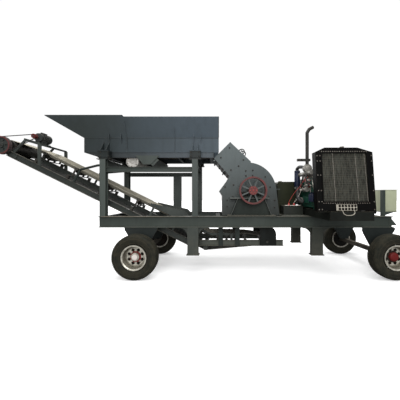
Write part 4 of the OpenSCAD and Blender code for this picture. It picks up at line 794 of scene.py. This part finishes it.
pump = [(0, 0), (46, 0), (50, 6), (50, 60), (42, 66), (42, 210), (34, 216), (34, 250), (0, 250)]
starter = [(0, 0), (44, 0), (56, 8), (56, 200), (50, 208), (50, 240), (36, 250), (36, 310), (0, 310)]
alternator = [(0, 0), (40, 0), (72, 10), (78, 30), (78, 90), (72, 110), (40, 122), (20, 124), (20, 160),
              (0, 160)]
turbo = [(0, -70), (40, -70), (66, -58), (88, -30), (92, 0), (88, 26), (60, 40), (46, 70), (46, 96), (0, 96)]
machined = [turned(profile, start, (0, 1, 0), sides) for profile, start, sides in (
    (pump, [4436, -600, 1800], 32), (starter, [4424, -300, 1570], 32),
    (alternator, [5110, -960, 1930], 36), (turbo, [4430, -600, 2255], 44))]
machined.append(softened([4420, -590, 1836], [4462, -420, 1890], 8))
put("pump_starter_alternator", machined, engine_alloy)


def tubes(*rows):
    """Tubes from rows of radius, sides and the places on the way."""
    return [tube(path, radius, sides) for radius, sides, *path in rows]


pipe_steel = patchy("drawn_pipe", (0.4, 0.7, 40, 4, 0.7), (150, 146, 138), (104, 92, 80), (0.35, 0.3),
                    metallic=0.6)
pipes = [
    (7, 8, (4470, -900, 1700), (4440, -900, 1800), (4452, -820, 1960), (4500, -700, 2060),
     (4565, -660, 2100)),
    (8, 8, (4436, -760, 1735), (4436, -740, 1800), (4470, -690, 1860), (4484, -660, 1880)),
    (9, 8, (4480, 20, 1700), (4420, 20, 1760), (4400, 10, 1860), (4460, 0, 2000), (4500, -20, 2080))]
for pump_y, head_y in ((-570, -800), (-530, -580), (-490, -360), (-450, -140)):
    pipes.append((4.5, 8, (4441, pump_y, 1888), (4438, pump_y, 1950), (4462, (pump_y + head_y) / 2, 2052),
                  (4530, head_y, 2110), (4572, head_y, 2150)))
put("engine_pipes", tubes(*pipes), pipe_steel)

hose_rubber = patchy("hose_rubber", (0.4, 0.75, 16, 4, 0.7), (26, 27, 27), (74, 70, 64), (0.6, 0.2), 0.4,
                     relief=(0.0006, 1.0, 180, 2))
hoses = tubes(
    (30, 16, (4850, -935, 2180), (4850, -1000, 2250), (4850, -1060, 2400), (4850, -1120, 2455),
     (4850, -1205, 2480)),
    (30, 16, (4620, -940, 1500), (4600, -1020, 1480), (4540, -1180, 1470), (4520, -1295, 1470)),
    (38, 16, (4390, -120, 2262), (4390, -122, 2300), (4400, -240, 2330), (4425, -420, 2300),
     (4430, -520, 2262)),
    (46, 16, (4352, -250, 1868), (4346, -262, 1800), (4340, -300, 1650), (4352, -380, 1560),
     (4420, -420, 1520)),
    (17, 12, (4400, -640, 2170), (4384, -660, 2080), (4388, -690, 1960), (4424, -720, 1880)),
    (14, 12, (4410, -520, 2140), (4372, -500, 2060), (4366, -470, 1940), (4420, -440, 1840)))
put("engine_hoses", hoses, hose_rubber)
clamp = [(30, -8), (41, -8), (41, 8), (30, 8), (30, -8)]
clamps = [turned(clamp, spot, way, 28) for spot, way in (
    ([4850, -1170, 2473], (0, 1, -0.2)), ([4524, -1265, 1470], (0, 1, 0)),
    ([4428, -500, 2268], (0, 1, 0.3)))]
put("hose_clamps", clamps, pipe_steel)

# ---------------------------------------- radiator
# A pressed steel frame, painted black and bolted together, round a core of flat upright tubes with
# crimped fins between them, some rows dented flat by flying stone.

radiator_black = sprayed("radiator_black", (5, 5, 5), (10, 10, 9), dust=0.05, rust=0.25, gloss=0.06)
coat(radiator_black, "radiator_frame")
fins = Finish("radiator_fins")
height = fins.along(2)
fold = height.sum("PINGPONG", height, 0.0085) / 0.0085
dents = fins.noise(11, 4, 0.7, (5.0, 1, 0.55)).between(0.38, 0.60)
blocked = fins.noise(34, 5, 0.75).between(0.45, 0.7)
fin_rows = height.sum("PINGPONG", height, 0.021).between(0.0045, 0.0015)
fin_colour = fins.blend(dents, (32, 32, 28), (70, 71, 64))
# Darker towards each fold of the crimped fins: painted shade in the crimps.
fin_colour = fins.blend(fold * 0.4, fin_colour, (22, 22, 20))
fin_colour = fins.blend(blocked * 0.35, fin_colour, (96, 88, 74))
fin_colour = fins.blend(fin_rows * 0.28, fin_colour, (104, 106, 96))
fins.surface(fin_colour, 0.6 + 0.2 * blocked, fins.bump(fold * 0.7 + dents, 0.002, 0.8), 0.1, 0.2)
coat(fins, "radiator_core")
(left, front_y, skid_top), (right, _, frame_top) = span("radiator_frame")
(core_left, _, core_foot), (core_right, _, core_top) = span("radiator_core")


def leant(shells):
    """Shells built upright, each point moved back by its height over the skid times the lean's slope."""
    lean = math.radians(5.6)
    return [shell + (shell[..., 2:] - skid_top) * np.array([0, math.tan(lean), 0]) for shell in shells]


flat_tubes = lined([-2.2, front_y + 15, core_foot + 2], [2.2, front_y + 26, core_top - 2],
                   np.arange(core_left + 14, core_right - 6, 18.6), 2, axis=0)
put("radiator_tubes", leant(flat_tubes), fins)
wires = [tube([[x, front_y + 13, core_top - 4], [x + 22, front_y + 13, core_foot + 4]], 3.6, 6)
         for x in (4596, 5010, 5178)]
put("radiator_wires", leant(wires), pipe_steel)
rim_bolts = [(x, front_y, z) for x in np.arange(core_left + 10, core_right, 41)
             for z in (core_foot - 22, core_top + 22)]
rim_bolts += [(x, front_y, z) for x in (left + 30, left + 82, right - 30)
              for z in (1420, 1560, 1760, 2040, 2300, 2400)]
put("radiator_bolts", leant(hexagons(rim_bolts, (0, -1, 0), 15, 8)), nut_steel)
trim = lined([left + 90, front_y - 14, 0], [right - 95, front_y + 2, 20], (core_foot - 12, core_top - 8), 4,
             axis=2)
trim += lined([0, front_y - 16, core_foot], [20, front_y + 2, core_top], (left + 96, right - 122), 4, axis=0)
trim = leant(trim)
trim.append(softened([right - 6, -1330, skid_top - 48], [right + 82, -1190, skid_top + 8], 6))
put("radiator_trim", trim, radiator_black)
filler = [(0, 50), (34, 50), (38, 46), (38, 34), (30, 30), (30, 0), (0, 0)]
cap_spot = [(left + right) / 2 + 5, front_y + 184.66, frame_top - 50]
put("radiator_cap", [turned(filler, cap_spot, (0, 0, 1), 24)], nut_steel)


def pierced(low, high, y, across, up, hole):
    """A flat plate with rows of round holes: each cell's grid runs from its square outline in to a
    circle and back through the thickness, so the holes are true openings."""
    cell = np.subtract(high, low) / (across, up)
    t = np.arange(16) * 2 * math.pi / 16
    ring = np.stack([np.cos(t), np.sin(t)], -1)
    square = ring / abs(ring).max(1)[:, None] * cell / 2
    circle = ring * hole
    shells = []
    for column in range(across):
        for line in range(up):
            centre = low + cell * (column + 0.5, line + 0.5)
            faces = ((square, y), (circle, y), (circle, y + 4), (square, y + 4), (square, y))
            shells.append(np.stack([np.insert(centre + outline, 1, depth, 1) for outline, depth in faces]))
    return shells


pale_plate = sprayed("pale_plate", (172, 168, 156), (140, 134, 122), dust=0.2, rust=0.6)
step_plate = pierced((4640, 1402), (4976, 1512), front_y - 12, 6, 2, 24)
step_plate.append(softened([4606, front_y - 12, 1402], [4640, front_y - 8, 1512], 2))
put("pierced_plate", leant(step_plate), pale_plate)
bend = [(4690, -16, 1412), (4700, -40, 1392), (4712, -54, 1350), (4762, -54, 1322), (4850, -54, 1322),
        (4900, -54, 1350), (4910, -40, 1392), (4920, -16, 1412)]
put("bent_loop", [tube(np.array(bend) + (0, front_y, 0), 7, 10)], pale_plate)

# ---------------------------------------- battery, cables, tank and cabinet
# A steel battery tray with a clamping strap and two posts, two starting cables laid up to the engine's
# left face with looms beside them, a welded fuel tank held by straps, and a sheet steel switch cabinet.

coat(sprayed("battery_black", (26, 30, 26), (38, 42, 36), dust=0.3, rust=0.4), "battery_box")
red_plastic = patchy("red_sleeve", (0.4, 0.7, 30, 4, 0.7), (168, 52, 50), (120, 70, 62), (0.45, 0.2),
                     0.5, relief=(0.0004, 1.0, 200, 2))
white_plastic = patchy("white_sleeve", (0.4, 0.7, 26, 4, 0.7), (206, 198, 190), (150, 132, 118), (0.45, 0.2),
                       0.6, relief=(0.0004, 1.0, 200, 2))
terminal = span("battery_box")[1][2]
red_route = [(4120, -340, 0), (4120, -340, 60), (4210, -380, 240), (4350, -420, 430), (4430, -430, 560),
             (4480, -430, 560)]
pale_route = [(4240, -330, 0), (4240, -330, 50), (4320, -350, 160), (4390, -370, 330), (4440, -380, 430),
              (4480, -380, 430)]
routes = [np.array(route) + (0, 0, terminal) for route in (red_route, pale_route)]
put("battery_cable_red", [tube(routes[0], 5, 12)], red_plastic, "plant", ["battery_cables"])
put("battery_cable_pale", [tube(routes[1], 4.5, 12)], white_plastic)
red_loom = tubes(
    (8, 8, (4452, -440, 2050), (4420, -500, 2020), (4428, -570, 1960), (4452, -640, 1930)),
    (8, 8, (4452, -470, 2070), (4412, -540, 2050), (4420, -640, 2000), (4452, -720, 1990)),
    (8, 8, (4452, -600, 2080), (4416, -620, 2030), (4416, -660, 1960), (4440, -690, 1900),
     (4452, -640, 1850)),
    (8, 8, (4452, -430, 2000), (4400, -400, 1950), (4390, -330, 1880), (4452, -280, 1830)))
put("red_loom", red_loom, red_plastic)
pale_loom = tubes((8, 8, (4452, -200, 1860), (4400, -230, 1830), (4396, -320, 1800), (4452, -380, 1790)),
                  (8, 8, (4452, -440, 1900), (4410, -520, 1890), (4400, -640, 1900), (4452, -760, 1880)))
pale_loom.append(softened([4392, -702, 1983], [4440, -656, 2017], 6))
pale_loom.append(softened([4380, -347, 1773], [4436, -300, 1817], 6))
put("pale_loom", pale_loom, white_plastic)
boot = [(0, 30), (12, 30), (20, 20), (23, 0), (23, -14), (0, -14)]
boots = [turned(boot, route[0], (0, 0, 1), 20) for route in routes]
put("terminal_boots", boots, red_plastic)
lugs = [softened(route[-1] - (6, 13, 13), route[-1] + (6, 13, 13), 4) for route in routes]
put("cable_lugs", lugs, nut_steel)
strap = [softened([4030, -362, terminal - 22], [4390, -300, terminal - 10], 4)]
put("battery_strap", strap, white_plastic)

tank_paint = sprayed("tank_olive", (33, 36, 22), (41, 44, 28), dust=0.2, rust=0.4, gloss=0.15)
coat(tank_paint, "fuel_tank")
(left, _, foot), (right, _, top) = span("fuel_tank")
bands = []
for start, end, low, high in (
        (left - 5, left + 1, 30, 730), (right - 1, right + 5, 30, 730), (left + 30, right - 30, 771, 779)):
    bands += lined([start, 0, foot + low], [end, 34, foot + high], (70, 350), 2)
put("tank_straps", bands, black_paint)
filler_cap = [(0, 24), (36, 24), (44, 18), (46, 4), (46, -6), (0, -6)]
put("tank_cap", [turned(filler_cap, [left + 120, 225, top - 24], (0, 0, 1), 28)], nut_steel)
tank_seam = weld([left + 2, -1, foot + 260], [right - 2, -1, foot + 260], 3)
put("tank_seam", [tank_seam], tank_paint)

cabinet_paint = sprayed("cabinet_enamel", (162, 167, 140), (182, 186, 159), dust=0.2, rust=0.35, rough=0.4,
                        grime=0.35)
coat(cabinet_paint, "control_cabinet")
(left, near, foot), (right, far, top) = span("control_cabinet")
door = [softened([right - 2, near + 18, foot + 18], [right + 8, far - 18, top - 18], 5),
        softened([left + 14, near - 5, foot + 14], [right - 14, near + 1, top - 14], 3),
        softened([left - 6, near - 8, top - 2], [right + 14, far + 8, top + 5], 3)]
put("cabinet_door", door, cabinet_paint)
hinge = [(0, 0), (7, 0), (8, 3), (8, 57), (7, 60), (0, 60)]
fittings = [turned(hinge, [right + 10, near + 24, z], (0, 0, 1), 12) for z in (foot + 60, top - 120)]
fittings.append(softened([right + 7, far - 70, foot + 190], [right + 22, far - 50, foot + 290], 5))
put("cabinet_fittings", fittings, nut_steel)

# ---------------------------------------- conveyor
# Bent channels carry troughing rollers and a rubber belt, which runs round a lagged head drum that a
# motor on a post stand turns through V-belts. The belt is grey with stone dust.

conveyor_paint = sprayed("conveyor_paint", (46, 51, 48), (62, 67, 63), dust=0.4, rust=0.6)
coat(conveyor_paint, "conveyor_head", "motor_stand", "loading_skirts")
# The supports turn near black towards the engine end: painted shade.
coat(sprayed("support_paint", (46, 52, 49), (12, 14, 12), dust=0.3, rust=0.5, tint_and_light_ramp=(0, 1.20, 1.42),
             gloss=0.15), "conveyor_supports")
# The channels grow paler towards the engine end, lifting their level part out of the rails' shadow: painted
# light.
coat(sprayed("channel_paint", (46, 51, 48), (82, 85, 77), dust=0.4, rust=0.6, tint_and_light_ramp=(0, -0.1, 0.3)),
     "conveyor_channels")
roller_steel = patchy("roller_steel", (0.35, 0.7, 18, 4, 0.6, (1, 0.3, 1)), (34, 34, 31), (66, 62, 55),
                      (0.55, -0.15), metallic=0.4, relief=(0.0006, 1.0))
coat(roller_steel, "idlers", "head_drum")
motor_paint = sprayed("motor_paint", (38, 42, 42), (52, 55, 54), dust=0.35, rust=0.5)
sheave_low, sheave_high = span("head_sheave")
sheave = (sheave_low + sheave_high) / 2
# The last argument darkens the sheave's rim side: painted shade.
coat(two_red("sheave_paint", sheave, 0.0, 0.172, (36, 42, 39), 0.62, 0.9), "head_sheave")
dish = [(60, 0), (150, 0), (150, 3), (60, 3), (60, 0)]
back_plate = turned(dish, [sheave[0], sheave_high[1] - 27, sheave[2]], (0, 1, 0), 64)
put("sheave_back_plate", [back_plate], motor_paint, "head_roll")
coat(cap_red, "motor_pulley")
coat(motor_paint, "conveyor_motor")

belt_slope = math.radians(26.3)
bend_place = (1860.0, 540.0)
belt_rubber = Finish("belt_rubber")
powder = belt_rubber.noise(7, 5, 0.65, (0.5, 1, 0.5)).between(0.3, 0.7)
crumbs = belt_rubber.noise(60, 5, 0.75).between(0.4, 0.7)
belt_colour = belt_rubber.blend(powder, (146, 142, 128), (186, 180, 162))
belt_colour = belt_rubber.blend(crumbs * 0.3, belt_colour, (204, 198, 180))
bend_x, _, bend_z = metres([bend_place[0], 0, bend_place[1]]).tolist()
belt_z = belt_rubber.along(2)
up_slope = (belt_rubber.along(0) - bend_x) * math.sin(belt_slope)
over_frame = up_slope + (belt_z - bend_z) * math.cos(belt_slope)
# The return run, beneath the carrying run, is darkened: painted shade.
belt_colour = belt_rubber.blend(over_frame.between(0.24, 0.16), belt_colour, (44, 45, 41))
# Low down, below about 1.1 m, the belt is darkened: painted shade under the rails.
belt_colour = belt_rubber.blend(belt_z.between(1.22, 1.0) * 0.8, belt_colour, (48, 47, 42))
belt_rubber.surface(belt_colour, 0.85 + 0.1 * powder, belt_rubber.bump(crumbs + powder, 0.002, 0.7))
coat(patchy("v_belt_rubber", (0.35, 0.7, 90, 4, 0.7), (30, 30, 29), (56, 53, 48), (0.7, 0.15),
            relief=(0.0006, 1.0)), "drive_belts")


def incline(u, v):
    """A place u millimetres up the conveyor's slope from its bend and v square over it, as x and z."""
    up = np.array([-math.cos(belt_slope), math.sin(belt_slope)])
    over = np.array([math.sin(belt_slope), math.cos(belt_slope)])
    return bend_place + u * up + v * over


def round_drum(centre, radius, start, end):
    """Belt points round a drum, each with its normal's angle and no trough."""
    turn = np.linspace(start, end, 30)
    place = centre + radius * np.stack([np.sin(turn), np.cos(turn)], -1)
    return [(*p, a, 0.0) for p, a in zip(place, turn)]


def belt_rows():
    """Points of the belt's inner face, the angle of its outward normal and its trough share: ends of
    straight runs, and round a drum points that turn with the angle. Carry, under and head_v are how high
    over the slope's line the upper run, the lower run and the head drum's axle are."""
    gap = 0.6
    head_r, tail_r, roller_r = 160, 95, 60
    carry, under, head_v = 332.6, 44, 172
    level = 730.0
    knee_reach = 160
    flat_trough = 0.65
    head = sum(span("head_drum"))[[0, 2]] / 2
    tail = np.array([3595.0, 634.4])
    roller = incline(-345, under + gap + roller_r)
    lift = math.atan((under - head_v + head_r) / 560)
    gone = tail - roller
    back = math.atan2(gone[1], gone[0]) - math.asin((tail_r - roller_r) / np.linalg.norm(gone))
    knee_x = bend_place[0] + (carry / math.cos(belt_slope) - level + bend_place[1]) / math.tan(belt_slope)
    knee_r = knee_reach / math.tan(belt_slope / 2)
    rows = [(tail[0] - 430, level, 0, flat_trough), (knee_x + 250, level, 0, flat_trough)]
    for a in np.linspace(0, belt_slope, 12):
        rows.append((knee_x + knee_reach - knee_r * math.sin(a), level + knee_r * (1 - math.cos(a)), a,
                     flat_trough + (1 - flat_trough) * a / belt_slope))
    rows += [(*incline(u, carry), belt_slope, trough) for u, trough in ((600, 1), (3962, 1), (4362, 0.45))]
    rows += round_drum(head, head_r + gap, belt_slope, belt_slope - math.pi - lift)
    rows.append((*incline(4150, under), belt_slope - math.pi, 0))
    rows += round_drum(roller, roller_r + gap, belt_slope - math.pi, -math.pi - back)
    rows += round_drum(tail, tail_r + gap, -math.pi - back, -2 * math.pi)
    return np.array([*rows, (*rows[0][:2], -2 * math.pi, rows[0][3])])


def belt_shell():
    """The section's tilt grows smoothly from 0 on the flat middle to the trough angle on the wings, and
    its running sum gives the section. Each station sweeps it, with more stations on straight runs."""
    spacing = 60
    half_width, flat_half, fold_width = 290, 80, 40
    trough_angle = math.radians(30)
    inner_face, outer_face = 0.6, 9.0
    rows = belt_rows()
    stations = []
    for first, second in zip(rows[:-1], rows[1:]):
        count = max(1, int(np.linalg.norm(second[:2] - first[:2]) / spacing))
        stations.append(first + (np.arange(count) / count)[:, None] * (second - first))
    x, z, turn, trough = np.concatenate([*stations, rows[-1:]]).T[..., None]
    s = np.linspace(-half_width, half_width, 47)
    middle = len(s) // 2
    wing = np.clip((abs(s) - flat_half) / fold_width, 0, 1)
    tilt = trough_angle * trough * wing ** 2 * (3 - 2 * wing) * np.sign(s)

    def summed(part):
        total = np.cumsum((part[:, 1:] + part[:, :-1]) / 2 * (s[1] - s[0]), 1)
        total = np.concatenate([0 * x, total], 1)
        return total - total[:, middle:middle + 1]

    flat = summed(np.cos(tilt))
    rise = summed(np.sin(tilt))
    across = np.concatenate([flat, flat[:, ::-1]], 1)
    out = np.concatenate([rise + inner_face, rise[:, ::-1] + outer_face], 1)
    return np.stack([x + out * np.sin(turn), across, z + out * np.cos(turn)], -1)


put("belt_sheet", [belt_shell()], belt_rubber, "plant", ["conveyor_belt"], 50)

motor_x, motor_z = -1563.04, 2981.95
motor_end = span("conveyor_motor")[1][1]
fin_count = 24
sides = fin_count * 8
t = np.arange(sides) * 2 * math.pi / sides
ribbed = np.where((t * fin_count / (2 * math.pi)) % 1 < 0.42, 108.0, 96.0)
stations = [(0, 215), (90, 215), (ribbed, 211), (ribbed, 62), (90, 58), (0, 58)]
body = [np.stack([motor_x + r * np.cos(t), motor_end - back + 0 * t, motor_z + r * np.sin(t)], -1)
        for r, back in stations]
put("motor_fins", [np.stack(body)], motor_paint)
cowl = [(0, 0), (62, 0), (98, 9), (107, 26), (107, 80), (98, 84), (0, 84)]
put("motor_cowl", [turned(cowl, [motor_x, motor_end - 54, motor_z], (0, 1, 0), 48)], motor_paint)
